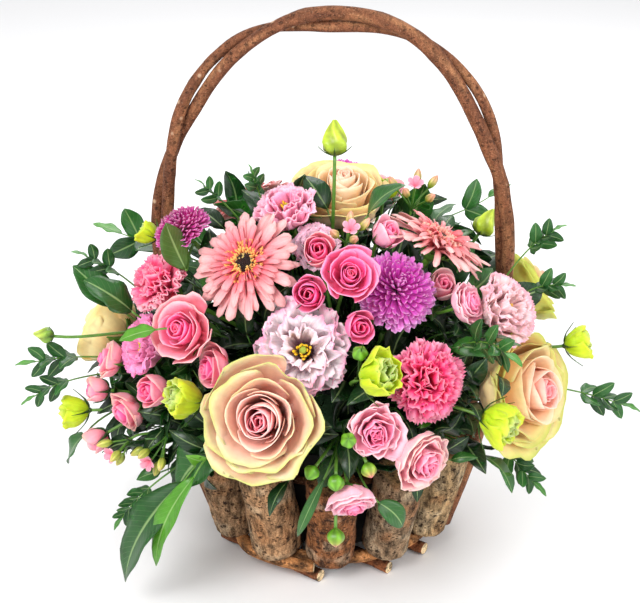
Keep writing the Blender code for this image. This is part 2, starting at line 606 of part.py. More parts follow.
def make_plants():
    """Every flower and sprig as one body each, and the stems that stand in the foam."""
    plants = {}
    for name, rows in FLOWERS.items():
        plants[name] = []
        for form, bearing, rise, reach, width, face_bearing, face_rise in rows:
            centre = HEART + heading(bearing, rise) * (reach * MM)
            plants[name].append((form, centre, heading(face_bearing, face_rise), width))
    for name, rows in CLUSTERS.items():
        plants[name] = [head for row in rows for head in cluster_heads(row)[0]]
    for name in SPRIGS:
        plants.setdefault(name, [])
    middles = []
    for name, heads in plants.items():
        tips = [HEART + heading(*row[:2]) * (row[2] * MM) for row in SPRIGS.get(name, ())]
        ends = [head[1] for head in heads] or tips
        middles.append(sum(ends, Vector()) / len(ends))
    stems = []
    entries = spread_entries([(middle - HEART).normalized() for middle in middles])
    for (name, heads), middle, entry in zip(plants.items(), middles, entries):
        start, out = HEART + entry * STEM_END, HEART + entry * FORK
        leaves = [*SPRIGS.get(name, ()), *BLADES.get(name, ())]
        if len(heads) == 1 and not leaves:
            form, centre, facing, width = heads[0]
            radius = STEM_RADII[form]
            pieces = headed(form, centre, facing, width, [start, out], entry, radius, 5)
        else:
            spread = max(((head[1] - middle).length for head in heads), default=1)
            onward, reach = entry, (middle - HEART).length - 1.5 * spread - 15 * MM
            path = [start, out]
            if reach > FORK * 1.15:
                onward = (middle - out).normalized()
                path = [start, out, HEART + (middle - HEART).normalized() * reach]
            radius = MAIN_RADIUS
            pieces = [tube_mesh(path, [radius * MM] * len(path), 5)]
            fork, drop = path[-1], 1.5 * MM
            for form, centre, facing, width in () if name in CLUSTERS else heads:
                leaving = (onward + (centre - fork).normalized()).normalized()
                pieces += headed(form, centre, facing, width, [fork - onward * drop], leaving, BRANCH_RADIUS)
                drop += BRANCH_STEP
            for row in CLUSTERS.get(name, ()):
                florets, node, facing = cluster_heads(row)
                pieces.append(branch_mesh(fork - onward * drop, onward, node, facing, 2)[0])
                knot = [node - facing * (7 * MM), node - facing * (2 * MM), node + facing * (2 * MM)]
                pieces.append(tube_mesh(knot, [1.6 * MM, 3.2 * MM, 2 * MM], 6))
                drop += 3 * MM
                for i, (form, centre, aim, width) in enumerate(florets):
                    away = (facing + (centre - node).normalized()).normalized()
                    pieces += headed(form, centre, aim, width, [node - facing * (0.6 * MM * i)], away, 0.9)
            for row in SPRIGS.get(name, ()):
                pieces += sprig_pieces(fork - onward * drop, onward, row)
                drop += BRANCH_STEP
            for row in BLADES.get(name, ()):
                pieces += blade_pieces(fork - onward * drop, onward, row)
                drop += BRANCH_STEP
        stems.append((name, start, out, radius * MM))
        finished(fuse(name, pieces))
    return stems


def main():
    clear_scene()
    make_sticks()
    make_hoops()
    make_logs()
    make_handle()
    foam_foot = make_liner()
    make_foam(foam_foot, make_plants())


main()
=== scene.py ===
# %% [markdown]
# # Dressing a flower basket
#
# A basket like this is built from the ground up: sticks, a hoop, a ring of upright logs, a liner with
# wet foam, a handle of two twisted vines, and then the flowers, each on its own stem in the foam.
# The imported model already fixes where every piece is. Here each piece gets its real surface: thin
# petals in their whorls, veined leaves, rough bark. One unit is one metre, and the front faces -Y.

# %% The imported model
import math

import bpy
import numpy as np
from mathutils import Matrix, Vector


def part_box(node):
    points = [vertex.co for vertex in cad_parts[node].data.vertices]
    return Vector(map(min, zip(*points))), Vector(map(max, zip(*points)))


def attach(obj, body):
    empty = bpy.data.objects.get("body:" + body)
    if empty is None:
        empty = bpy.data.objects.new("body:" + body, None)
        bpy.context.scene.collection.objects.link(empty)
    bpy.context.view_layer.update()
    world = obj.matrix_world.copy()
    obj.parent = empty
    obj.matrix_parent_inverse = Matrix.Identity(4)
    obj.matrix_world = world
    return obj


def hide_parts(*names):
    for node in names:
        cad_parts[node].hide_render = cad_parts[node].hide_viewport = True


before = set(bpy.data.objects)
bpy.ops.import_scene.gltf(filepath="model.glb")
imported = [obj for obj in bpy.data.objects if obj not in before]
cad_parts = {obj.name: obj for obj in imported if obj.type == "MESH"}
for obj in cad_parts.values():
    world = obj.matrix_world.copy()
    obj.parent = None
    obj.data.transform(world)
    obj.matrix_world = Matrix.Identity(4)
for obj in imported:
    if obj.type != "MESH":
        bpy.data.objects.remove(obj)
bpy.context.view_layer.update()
print("nodes:", len(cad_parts))

# %% [markdown]
# ## Where the flowers are
#
# A florist places each flower by eye around one point in the foam. So every head has a bearing
# (degrees from the front, towards the right), a rise (degrees above the horizontal) and a reach (mm)
# from that heart, then its width and the way it faces, and here also the name of its colours.
# Keeping the layout as a table means that one line moves one flower.

# %% Heads of the larger flowers
MM = 0.001
UP = np.array([0.0, 0.0, 1.0])
HEART = np.array([0.0, 0.0, 135 * MM])
STEM_END = 30 * MM  # stems stop this far from the heart
FORK = 80 * MM  # sprays branch this far from the heart

# (form, bearing, rise, reach, width, bearing it faces, rise it faces, colours)
FLOWERS = {
    "rose_front": [("rose", -17, 21, 201, 86, -8, 24, "salmon")],
    "rose_right": [("rose", 60, 16, 197, 94, 52, 14, "peach")],
    "rose_top": [("rose", 120, 87, 193, 74, 10, 76, "cream")],
    "rose_left": [("rose", -83, 21, 216, 62, -115, 20, "butter")],
    "rose_right_rear": [("rose", 105, 24, 206, 62, 105, 30, "lime_pink")],
    "rose_rear": [("rose", 180, 32, 190, 78, 180, 35, "salmon")],
    "gerbera_left": [("gerbera", -36, 55, 204, 96, -25, 42, "shell")],
    "gerbera_right": [("gerbera", 58, 59, 199, 98, 98, 62, "coral")],
    "gerbera_rear": [("gerbera", -150, 40, 200, 92, -150, 40, "shell")],
    "carnation_left": [("carnation", -64, 41, 216, 54, -60, 42, "bubblegum")],
    "carnation_front": [("carnation", 28, 28, 184, 66, 20, 25, "raspberry")],
    "carnation_rear": [("carnation", 142, 24, 192, 60, 140, 25, "bubblegum")],
    "lisianthus_low_left": [("lisianthus", -62, 26, 200, 50, -60, 25, "orchid")],
    "lisianthus_centre": [("lisianthus", -10, 39, 173, 75, -2, 30, "blush")],
    "lisianthus_upper": [("lisianthus", -39, 73, 207, 51, -40, 70, "candy"),
                         ("lisianthus", -10, 67, 188, 38, 0, 47, "lilac_white")],
    "lisianthus_right": [("lisianthus", 57, 37, 213, 56, 55, 40, "pearl")],
    "chrysanthemum_right": [("chrysanthemum", 28, 53, 180, 66, 25, 50, "lilac")],
    "chrysanthemum_left": [("chrysanthemum", -65, 53, 227, 48, -80, 62, "magenta")],
    "chrysanthemum_rear": [("chrysanthemum", 175, 61, 192, 56, 175, 61, "lilac")],
    "spray_rose_left": [("spray_rose", -46, 35, 207, 50, -25, 33, "two_tone"),
                        ("spray_rose", -38, 29, 182, 36, -60, 12, "two_tone"),
                        ("rosebud", -55, 17, 191, 31, -45, 15, "two_tone")],
    "spray_rose_centre": [("spray_rose", 6, 53, 218, 42, 8, 36, "hot_pink"),
                          ("rosebud", -6, 60, 212, 30, -5, 38, "two_tone"),
                          ("rosebud", -8, 50, 205, 31, -10, 28, "hot_pink"),
                          ("rosebud", 9, 44, 187, 28, 18, 22, "hot_pink")],
    "spray_rose_low": [("spray_rose", 11, 18, 189, 41, 8, 16, "soft_pink"),
                       ("spray_rose", 23, 9, 190, 46, 38, -5, "faded_pink"),
                       ("spray_rose", 5, -1, 184, 36, 15, -40, "soft_pink"),
                       ("round_bud", 4, 17, 194, 13, 0, 40, "bud_green"),
                       ("round_bud", -5, 8, 186, 13, -30, -20, "bud_green"),
                       ("round_bud", 1, 6, 190, 14, 0, -30, "bud_green"),
                       ("round_bud", 9, 9, 190, 13, 20, -30, "bud_split"),
                       ("round_bud", 1, -10, 190, 15, 0, -70, "bud_split")],
    "spray_rose_right": [("rosebud", 52, 50, 179, 28, 20, 50, "faded_pink"),
                         ("spray_rose", 47, 42, 204, 31, 60, 30, "soft_pink"),
                         ("rosebud", 33, 66, 200, 28, 60, 50, "soft_pink")],
    "spray_rose_far_left": [("spray_rose", -68, 19, 217, 31, -85, 20, "peach_pink"),
                            ("spray_rose", -64, 7, 198, 34, -50, -15, "peach_pink"),
                            ("rosebud", -69, -2, 219, 25, -75, -30, "peach_pink"),
                            ("rosebud", -71, 10, 218, 25, -80, 10, "peach_pink")],
    "spray_rose_rear": [("spray_rose", -172, 8, 190, 38, -170, 10, "two_tone"),
                        ("spray_rose", 164, 4, 186, 34, 165, 0, "hot_pink"),
                        ("rosebud", 158, 46, 200, 34, 150, 45, "two_tone")],
    "green_lisianthus_front": [("green_cup", 13, 32, 206, 40, 58, 30, "lime"),
                               ("round_bud", 8, 37, 196, 13, 0, 60, "bud_green"),
                               ("green_cup", 40, 15, 222, 40, 60, -10, "lime")],
    "green_lisianthus_left": [("green_cup", -43, 20, 195, 38, -70, 20, "lime"),
                              ("green_cup", -73, 4, 238, 32, -88, 0, "lime")],
    "green_lisianthus_far_left": [("green_cup", -75, 47, 238, 22, -100, 30, "lime"),
                                  ("closed_bud", -73, 20, 268, 13, -90, 8, "slim_bud")],
    "green_lisianthus_right": [("green_cup", 74, 20, 236, 30, 84, 16, "lime"),
                               ("closed_bud", 104, 47, 204, 20, 95, 60, "lime_bud"),
                               ("green_cup", 134, 69, 193, 22, 90, 70, "lime")],
    "green_lisianthus_top": [("closed_bud", 2, 81, 255, 22, 180, 78, "lime_bud")],
}

# %% Clusters, sprigs and large leaves
# A cluster: bearing, rise and reach of its middle, the way it faces, its half-width (mm) and its buds.
CLUSTERS = {
    "florets_low_left": [(-54, -2, 191, -45, -35, 18, 4), (-62, -2, 212, -65, -30, 14, 3)],
    "florets_top": [(97, 70, 208, 20, 75, 18, 5), (10, 67, 208, 20, 60, 13, 4)],
}
FLORET_WIDTH, FLORET_BUD_WIDTH = 15, 8
FLORET_RAISED, FLORET_TURNED = 4 * MM, 0.9  # how far it stands out, and how much it turns up and forwards
CLUSTER_SEED = 31

# A sprig: bearing, rise and reach of its tip, leaf length and width, pairs of leaves, share of its stem
# that is bare, and how far its tip nods (degrees).
SPRIGS = {
    "foliage_left": [(-76, 36, 262, 20, 11, 2, 0.8, 10), (-74, 14, 271, 24, 12, 2, 0.78, 20),
                     (-74, 7, 268, 20, 9, 2, 0.8, 38)],
    "foliage_low_left": [(-53, -13, 228, 17, 8, 3, 0.74, 35)],
    "foliage_top": [(-69, 62, 241, 16, 8, 2, 0.84, 20), (-60, 71, 236, 14, 8, 2, 0.86, 0)],
    "foliage_front": [(40, 30, 243, 26, 12, 3, 0.66, 50)],
    "foliage_right": [(81, 42, 252, 20, 11, 2, 0.84, 10), (72, 34, 240, 20, 10, 2, 0.84, 34),
                      (79, 3, 260, 24, 12, 2, 0.76, 20), (56, -7, 208, 22, 11, 2, 0.76, 30)],
    "foliage_rear": [(-135, 10, 236, 40, 20, 2, 0.66, 20), (-108, 32, 240, 40, 24, 1, 0.74, 20),
                     (125, 40, 232, 36, 20, 1, 0.7, 20), (-158, 20, 226, 36, 22, 1, 0.7, 20)],
}

# A large leaf: bearing, rise and reach of its base and then of its tip, its width, and its kind.
BLADES = {
    "foliage_left": [(-74, 30, 222, -77, 33, 267, 27, "round"), (-66, 32, 216, -69, 34, 262, 30, "round"),
                     (-74, -3, 226, -76, -10, 246, 23, "round")],
    "foliage_low_left": [(-40, -2, 190, -50, -24, 257, 34, "long"), (-35, 2, 195, -42, -19, 237, 20, "fresh"),
                         (-33, 7, 160, -43, -5, 192, 40, "round")],
    "florets_top": [(32, 74, 197, 50, 71, 232, 26, "round")],
    "spray_rose_right": [(67, 48, 198, 61, 58, 182, 20, "round")],
    "spray_rose_low": [(-2, 5, 176, -10, -16, 176, 9, "long"), (12, -2, 180, 19, -10, 186, 18, "round")],
    "spray_rose_left": [(-49, 33, 224, -54, 28, 240, 15, "fresh")],
    "chrysanthemum_left": [(-55, 47, 214, -53, 51, 265, 24, "olive")],
}
print("flowers:", sum(len(rows) for rows in FLOWERS.values()), "heads")

# %% [markdown]
# ## Routes of the stems
#
# A cut stem goes straight into the foam and bends only above it. So each stem is a straight stretch and
# then a cubic Bezier curve, and a spray forks into thinner branches. The stems in the foam must not
# cross, so their directions are first pushed apart, a little in each of many rounds.

# %% Directions and curves
ENTRY_SPACING, LEAST_ENTRY_RISE = 15, 6  # degrees
ENTRY_PUSH, ENTRY_ROUNDS = 0.004, 300
# A spray forks below its middle, by this many times its spread and this much more. Its branches leave
# the main stem one below the other, by these steps.
FORK_SPREADS, FORK_MARGIN = 1.5, 15 * MM
FIRST_BRANCH, BRANCH_STEP, CLUSTER_STEP, FLORET_STEP = 1.5 * MM, 1.7 * MM, 3 * MM, 0.6 * MM
# Radii of the stems, in mm, and those at the thin ends.
STEM_RADII = {"rose": 2.8, "gerbera": 2.6, "carnation": 2.0, "chrysanthemum": 2.2, "lisianthus": 2.0,
              "closed_bud": 1.5}
MAIN_RADIUS, BRANCH_RADIUS, SPRIG_RADIUS, FLORET_RADIUS = 2.4, 1.4, 1.3, 0.9
CLUSTER_END, FLORET_END, SPRIG_END, LEAF_END = 1.1, 0.8, 0.5, 0.8
# How far below its middle a head's stalk meets it, as a share of half its width.
HEAD_BASE = {"rose": 0.8, "spray_rose": 0.8, "rosebud": 0.89, "gerbera": 0.28, "carnation": 0.89,
             "chrysanthemum": 0.47, "lisianthus": 0.75, "green_cup": 1.03, "floret": 1.13,
             "closed_bud": 1.0, "round_bud": 1.0, "tiny_bud": 1.3}
# Leaves in pairs: how much they lean on along the stem, and how much smaller the last are than the
# first. The leaf at the tip: its length and width, as shares of the others'.
PAIR_LEAN, PAIR_TAPER, TIP_LENGTH, TIP_WIDTH = 0.9, 0.3, 0.7, 0.6


def unit(v):
    """The vectors at length one."""
    return v / np.maximum(np.linalg.norm(v, axis=-1, keepdims=True), 1e-12)


def heading(bearing, rise):
    """The unit vector at a bearing from the front and a rise above the horizontal."""
    b, r = math.radians(bearing), math.radians(rise)
    return np.array([math.sin(b) * math.cos(r), -math.cos(b) * math.cos(r), math.sin(r)])


def at(bearing, rise, reach):
    """A point of the arrangement, seen from its heart."""
    return HEART + heading(bearing, rise) * (reach * MM)


def bend(start, leaving, end, arriving, steps=10):
    """A cubic Bezier curve that leaves its start one way and arrives at its end another way."""
    length = np.linalg.norm(end - start)
    controls = (start, start + leaving * (length * 0.4), end - arriving * (length * 0.25), end)
    t = np.linspace(0, 1, steps + 1)[:, None]
    weights = ((1 - t)**3, 3 * t * (1 - t)**2, 3 * t * t * (1 - t), t**3)
    return sum(w * c for w, c in zip(weights, controls))


def spread_entries(wanted):
    """Push the stems' directions apart until they clear each other in the foam."""
    found = np.array(wanted)
    for _ in range(ENTRY_ROUNDS):
        angle = np.degrees(np.arccos(np.clip(found @ found.T, -1, 1)))
        push = np.clip(ENTRY_SPACING - angle, 0, None)
        np.fill_diagonal(push, 0)
        away = found[:, None, :] - found[None, :, :]
        found = found + ENTRY_PUSH * (push[:, :, None] * away).sum(axis=1)
        found[:, 2] = np.maximum(found[:, 2], math.sin(math.radians(LEAST_ENTRY_RISE)))
        found = unit(found)
    return found


# %% A cluster's own small layout
def cross_axes(facing):
    """Two unit vectors square to this one and to each other: across it, and up along it."""
    across = np.cross(UP, facing)
    if np.linalg.norm(across) < 1e-6:
        across = np.array([1.0, 0.0, 0.0])
    across = unit(across)
    return across, np.cross(facing, across)


def cluster_heads(row, colours):
    """One open floret in a ring of buds on a shallow dome, and the point where their stalks part."""
    bearing, rise, reach, face_bearing, face_rise, spread, buds = row
    rng = np.random.default_rng(CLUSTER_SEED)
    middle, facing = at(bearing, rise, reach), heading(face_bearing, face_rise)
    across, upward = cross_axes(facing)
    open_way = unit(facing + FLORET_TURNED * heading(0, 45))
    heads = [("floret", middle + facing * FLORET_RAISED, open_way, FLORET_WIDTH, "floret_pink")]
    for i in range(buds):
        turn = 2 * math.pi * (i + rng.uniform(-0.2, 0.2)) / buds
        share = 1 - 0.25 * (i % 2)
        side = across * (math.cos(turn) * share) + upward * (math.sin(turn) * share)
        offset = side + facing * (0.2 - 0.35 * share)
        heads.append(("tiny_bud", middle + offset * (spread * MM), unit(facing + side * 0.7),
                      FLORET_BUD_WIDTH, colours))
    return heads, middle - facing * (1.4 * spread * MM), facing


# %% Every stem, head and leaf of every node
def layout():
    """For each node: its stems as (path, radius at the start, radius at the end), heads and leaves."""
    heads, clusters = {}, {}
    for name, rows in FLOWERS.items():
        heads[name] = [(row[0], at(*row[1:4]), heading(*row[5:7]), row[4], row[7]) for row in rows]
    for name, rows in CLUSTERS.items():
        colours = "yellow_green_bud" if name == "florets_low_left" else "peach_bud"
        clusters[name] = [cluster_heads(row, colours) for row in rows]
        heads[name] = [head for cluster in clusters[name] for head in cluster[0]]
    for name in SPRIGS:
        heads.setdefault(name, [])
    middles = {name: np.mean([head[1] for head in found] or [at(*row[:3]) for row in SPRIGS[name]], axis=0)
               for name, found in heads.items()}
    entries = spread_entries([unit(middle - HEART) for middle in middles.values()])
    return {name: route(name, found, middles[name], entry, clusters.get(name, ()))
            for (name, found), entry in zip(heads.items(), entries)}


def stalk_end(form, centre, facing, width):
    """Where a head's stalk meets it, behind its middle."""
    return centre - facing * (HEAD_BASE[form] * width * MM / 2)


def route(name, heads, middle, entry, clusters):
    """One node's stems and leaves, from its place in the foam outwards."""
    start, out = HEART + entry * STEM_END, HEART + entry * FORK
    leafy = SPRIGS.get(name, []) + BLADES.get(name, [])
    stems, leaves = [], []
    if len(heads) == 1 and not leafy:
        form, _, facing = heads[0][:3]
        path = np.vstack([start, out, bend(out, entry, stalk_end(*heads[0][:4]), facing)[1:]])
        return {"stems": [(path, STEM_RADII[form], STEM_RADII[form])], "heads": heads, "leaves": []}
    spread = max((np.linalg.norm(head[1] - middle) for head in heads), default=1)
    reach = np.linalg.norm(middle - HEART) - FORK_SPREADS * spread - FORK_MARGIN
    fork, onward = out, entry
    path = [start, out]
    if reach > FORK * 1.15:
        onward = unit(middle - out)
        fork = HEART + unit(middle - HEART) * reach
        path.append(fork)
    stems.append((np.array(path), MAIN_RADIUS, MAIN_RADIUS))
    drop = FIRST_BRANCH
    for form, centre, facing, width, _ in () if clusters else heads:
        leaving = unit(onward + unit(centre - fork))
        path = bend(fork - onward * drop, leaving, stalk_end(form, centre, facing, width), facing)
        stems.append((path, BRANCH_RADIUS, BRANCH_RADIUS))
        drop += BRANCH_STEP
    for florets, node, facing in clusters:
        root = fork - onward * drop
        path = bend(root, unit(onward + unit(node - root)), node, facing)
        stems.append((path, BRANCH_RADIUS, CLUSTER_END))
        drop += CLUSTER_STEP
        for i, (form, centre, aim, width, _) in enumerate(florets):
            leaving = unit(facing + unit(centre - node))
            path = bend(node - facing * (FLORET_STEP * i), leaving, stalk_end(form, centre, aim, width), aim)
            stems.append((path, FLORET_RADIUS, FLORET_END))
    for bearing, rise, tip_reach, length, width, pairs, bare, nod in SPRIGS.get(name, ()):
        root, tip = fork - onward * drop, at(bearing, rise, tip_reach)
        path = bend(root, unit(onward + unit(tip - root)), tip, heading(bearing, rise - nod), 24)
        stems.append((path, SPRIG_RADIUS, SPRIG_END))
        leaves += sprig_leaves(path, length, width, pairs, bare)
        drop += BRANCH_STEP
    for row in BLADES.get(name, ()):
        base, tip, kind = at(*row[:3]), at(*row[3:6]), row[7]
        root = fork - onward * drop
        along = unit(tip - base)
        path = bend(root, unit(onward + unit(base - root)), base + along * MM, along)
        stems.append((path, SPRIG_RADIUS, LEAF_END))
        leaves.append((base, tip, unit((base + tip) / 2 - HEART) + UP * 0.8, row[6], kind))
        drop += BRANCH_STEP
    return {"stems": stems, "heads": heads, "leaves": leaves}


def sprig_leaves(path, length, width, pairs, bare):
    """Leaves in pairs along the far part of a stem, each pair a quarter turn on, and one at the tip."""
    found = []
    steps = len(path) - 1
    shares = np.linspace(bare, 1, 2 * pairs + 1)[:-1]
    for i, share in enumerate(shares):
        k = min(int(share * steps), steps - 1)
        base = path[k] + (path[k + 1] - path[k]) * (share * steps - k)
        along = unit(path[k + 1] - path[k])
        flat = unit(np.cross(along, UP))
        across = flat if i % 2 == 0 else np.cross(flat, along)
        size = length * (1 - PAIR_TAPER * i / len(shares))
        for side in (-1, 1):
            tip = base + unit(along * PAIR_LEAN + across * side) * (size * MM)
            found.append((base, tip, np.cross(along, across) * side, width * size / length, "small"))
    end = unit(path[-1] - path[-2])
    face = np.cross(unit(np.cross(end, UP)), end)
    tip = path[-1] + end * (length * TIP_LENGTH * MM)
    found.append((path[-1] - end * MM, tip, face, width * TIP_WIDTH, "tip"))
    return found


PLANTS = layout()
print("stems:", sum(len(p["stems"]) for p in PLANTS.values()),
      "leaves:", sum(len(p["leaves"]) for p in PLANTS.values()))

# %% [markdown]
# ## Surfaces from arrays
#
# A petal or a leaf is a sheet: a grid of points that two parameters span, u across it and v along it.
# Every sheet of a kind is computed at once, as one array of shape (sheets, across, along, 3). A real
# petal has a thickness too, so each grid is doubled, half a wall to each side, and its rim is closed.
# The colour is worked out on the same grid and kept on the points, so it follows the petal wherever
# it bends. Round things, such as stems and buds, are rings of points along a path.

# %% Closed skins
def closed_grid(rows, columns):
    """Quads of one doubled grid: its back, its front and the wall round its rim."""
    index = np.arange(rows * columns).reshape(rows, columns)
    a, b, c, d = index[:-1, :-1], index[1:, :-1], index[1:, 1:], index[:-1, 1:]
    back = np.stack([a, b, c, d], -1).reshape(-1, 4)
    front = back[:, ::-1] + rows * columns
    rim = np.concatenate([index[:-1, 0], index[-1, :-1], index[:0:-1, -1], index[0, :0:-1]])
    onward = np.roll(rim, -1)
    wall = np.stack([onward, rim, rim + rows * columns, onward + rows * columns], -1)
    return np.concatenate([back, front, wall])


def blades(grid, thickness, colour, uv):
    """Thin closed solids from sheets (n, rows, columns, 3), half the thickness to each side."""
    n, rows, columns, _ = grid.shape
    normal = unit(np.cross(np.gradient(grid, axis=1), np.gradient(grid, axis=2)))
    half = normal * (thickness / 2)
    points = np.concatenate([(grid + half).reshape(n, -1, 3), (grid - half).reshape(n, -1, 3)], axis=1)
    quads = closed_grid(rows, columns)[None] + (np.arange(n) * points.shape[1])[:, None, None]
    doubled = [np.concatenate([a.reshape(n, -1, a.shape[-1])] * 2, axis=1).reshape(-1, a.shape[-1])
               for a in (np.broadcast_to(colour, (n, rows, columns, 3)),
                         np.broadcast_to(uv, (n, rows, columns, 2)))]
    return points.reshape(-1, 3), quads.reshape(-1, 4), *doubled


def rings(grid, colour, squeeze=0.02):
    """A closed skin from rings (stations, around, 3), with each end drawn in to its middle."""
    stations, around, _ = grid.shape
    middles = grid[[0, -1]].mean(axis=1, keepdims=True)
    ends = middles + squeeze * (grid[[0, -1]] - middles)
    grid = np.concatenate([ends[:1], grid, ends[1:]])
    colour = np.broadcast_to(colour, (stations, around, 3))
    colour = np.concatenate([colour[:1], colour, colour[-1:]])
    index = np.arange((stations + 2) * around).reshape(stations + 2, around)
    onward = np.roll(index, -1, axis=1)
    side = np.stack([index[:-1], onward[:-1], onward[1:], index[1:]], -1).reshape(-1, 4)
    k = np.arange(1, around - 1)
    first = np.stack([0 * k, k + 1, k, k], -1)
    last = np.stack([0 * k, k, k + 1, k + 1], -1) + (stations + 1) * around
    steps = np.linalg.norm(np.diff(grid.mean(axis=1), axis=0), axis=1)
    along = np.concatenate([[0], np.cumsum(steps)])
    around_it = np.abs(2 * np.arange(around) / around - 1)
    uv = np.stack(np.broadcast_arrays(around_it[None, :], along[:, None]), -1)
    return (grid.reshape(-1, 3), np.concatenate([side, first, last]), colour.reshape(-1, 3),
            uv.reshape(-1, 2))


def joined(parts):
    """Several skins as one: (points, quads, colours, uv)."""
    offsets = np.cumsum([0] + [len(p[0]) for p in parts[:-1]])
    return (np.concatenate([p[0] for p in parts]),
            np.concatenate([p[1] + o for p, o in zip(parts, offsets)]),
            np.concatenate([p[2] for p in parts]), np.concatenate([p[3] for p in parts]))


# %% Tubes
def circles(path, around):
    """The turn of each point of a circle, and unit circles (stations, around, 3) square to a path.

    A circle is across * cos(turn) + other * sin(turn). Across is the cross product of the way on with
    the direction in which the path is flattest, which a singular value decomposition finds, and other
    is that of the way on with across. So the circles never spin along a curve in a plane.
    """
    on = unit(np.gradient(path, axis=0))
    flattest = np.linalg.svd(path - path.mean(axis=0))[2][-1]
    across = unit(np.cross(on, flattest))
    other = np.cross(on, across)
    turn = 2 * math.pi * np.arange(around) / around
    return turn, across[:, None] * np.cos(turn)[None, :, None] + other[:, None] * np.sin(turn)[None, :, None]


def tube(path, radius, colour, around=8):
    """A smooth tube, whose radius is one number or one per station."""
    _, circle = circles(path, around)
    return rings(path[:, None] + circle * np.reshape(radius, (-1, 1, 1)), colour)


def smoothed(path, steps=4):
    """More points on a path, on a Catmull-Rom curve through the ones that it has."""
    p = np.vstack([2 * path[0] - path[1], path, 2 * path[-1] - path[-2]])
    t = (np.arange(steps) / steps)[None, :, None]
    a, b, c, d = (p[i:len(p) - 3 + i][:, None] for i in range(4))
    curve = 0.5 * (2 * b + (c - a) * t + (2 * a - 5 * b + 4 * c - d) * t**2 + (3 * b - a - 3 * c + d) * t**3)
    return np.vstack([curve.reshape(-1, 3), path[-1:]])


# %% From a skin to an object
PIECE_SIZES = {}


def show(name, part, material, slot, *nodes):
    """Make one piece of a skin: smooth quads, colour on the points, a UV map, riding on the basket."""
    points, quads, colour, uv = part
    mesh = bpy.data.meshes.new(name)
    triangle = quads[:, 2] == quads[:, 3]
    sizes = np.where(triangle, 3, 4)
    corners = quads[np.arange(4)[None, :] < sizes[:, None]]
    mesh.vertices.add(len(points))
    mesh.loops.add(len(corners))
    mesh.polygons.add(len(quads))
    mesh.vertices.foreach_set("co", points.astype(np.float32).ravel())
    mesh.loops.foreach_set("vertex_index", corners.astype(np.int32))
    mesh.polygons.foreach_set("loop_start", np.concatenate([[0], np.cumsum(sizes)[:-1]]).astype(np.int32))
    mesh.update(calc_edges=True)
    mesh.polygons.foreach_set("use_smooth", np.ones(len(quads), bool))
    tint = mesh.color_attributes.new("tint", "FLOAT_COLOR", "POINT")
    tint.data.foreach_set("color", np.column_stack([colour, np.ones(len(colour))]).astype(np.float32).ravel())
    layer = mesh.uv_layers.new(name="surface")
    layer.data.foreach_set("uv", uv[corners].astype(np.float32).ravel())
    mesh.materials.append(material)
    piece = bpy.data.objects.new(name, mesh)
    bpy.context.scene.collection.objects.link(piece)
    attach(piece, "root")
    if nodes:
        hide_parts(*nodes)
    PIECE_SIZES[name] = int((sizes - 2).sum())


# %% Uneven surfaces
# Large odd numbers scatter the lattice corners, the seeds and the bits of the result.
CORNER_PRIMES, SEED_PRIME, BIT_PRIME = (73856093, 19349663, 83492791), 2654435761, 1274126177
LATTICE_SHIFT, RANDOM_BITS = 1000.0, 0xFFFFFF


def value_noise(points, size, seed=0):
    """Smooth noise from 0 to 1: a random value at each corner of a lattice, blended in each cell."""
    scaled = np.asarray(points) / size + LATTICE_SHIFT
    cell = np.floor(scaled).astype(np.int64)
    t = scaled - cell
    t = t * t * (3 - 2 * t)
    total = 0.0
    for corner in np.ndindex(2, 2, 2):
        c = cell + np.array(corner)
        x, y, z = (c[..., k] * prime for k, prime in enumerate(CORNER_PRIMES))
        bits = x ^ y ^ z ^ (seed * SEED_PRIME)
        bits = (bits ^ (bits >> 13)) * BIT_PRIME
        value = ((bits ^ (bits >> 16)) & RANDOM_BITS) / RANDOM_BITS
        weight = np.prod(np.where(np.array(corner) == 1, t, 1 - t), axis=-1)
        total = total + weight * value
    return total


def rough_noise(points, size, seed=0, octaves=3):
    """Noise of several sizes, each half as large and half as strong as the one before, about zero."""
    total, strength = 0.0, 1.0
    for k in range(octaves):
        total = total + strength * (value_noise(points, size / 2**k, seed + k) - 0.5)
        strength /= 2
    return total


def smoothstep(low, high, x):
    """0 below low, 1 above high, and a smooth rise between."""
    t = np.clip((x - low) / (high - low), 0, 1)
    return t * t * (3 - 2 * t)


def blend(a, b, share):
    """From a to b; the share may be an array, and gets a last axis for the colour."""
    share = np.asarray(share)[..., None]
    return np.asarray(a) * (1 - share) + np.asarray(b) * share


def rgb(red, green, blue):
    """A colour as it shows on a screen, 0 to 255, as the light that Blender mixes."""
    c = np.array([red, green, blue]) / 255
    return np.where(c <= 0.04045, c / 12.92, ((c + 0.055) / 1.055)**2.4)


# %% [markdown]
# ## Finishes
#
# Every finish starts from the colour on the points. Petals get fine lengthwise veins, from noise that
# is stretched along the petal's own UV map, and let a little light through. Leaves get a midrib and
# side veins, which a little arithmetic on the UV map draws. Bark gets cracks, pits and a dull skin from
# noise on Object coordinates, because it must not stretch where the wood bends.

# %% A small helper for nodes
def new_material(name, roughness, specular=0.5):
    """A Principled material, with its tint read from the points."""
    material = bpy.data.materials.new(name)
    material.use_nodes = True
    tree = material.node_tree
    shader = tree.nodes["Principled BSDF"]
    shader.inputs["Roughness"].default_value = roughness
    shader.inputs["Specular IOR Level"].default_value = specular
    tint = tree.nodes.new("ShaderNodeAttribute")
    tint.attribute_name = "tint"
    return material, tree, shader, tint.outputs["Color"]


def add(tree, kind, *inputs, **settings):
    """Add a node: inputs are sockets to link or values to set, in the order of its sockets."""
    node = tree.nodes.new("ShaderNode" + kind)
    for key, value in settings.items():
        setattr(node, key, value)
    for socket, value in zip(node.inputs, inputs):
        if isinstance(value, bpy.types.NodeSocket):
            tree.links.new(value, socket)
        elif value is not None:
            socket.default_value = value
    return node


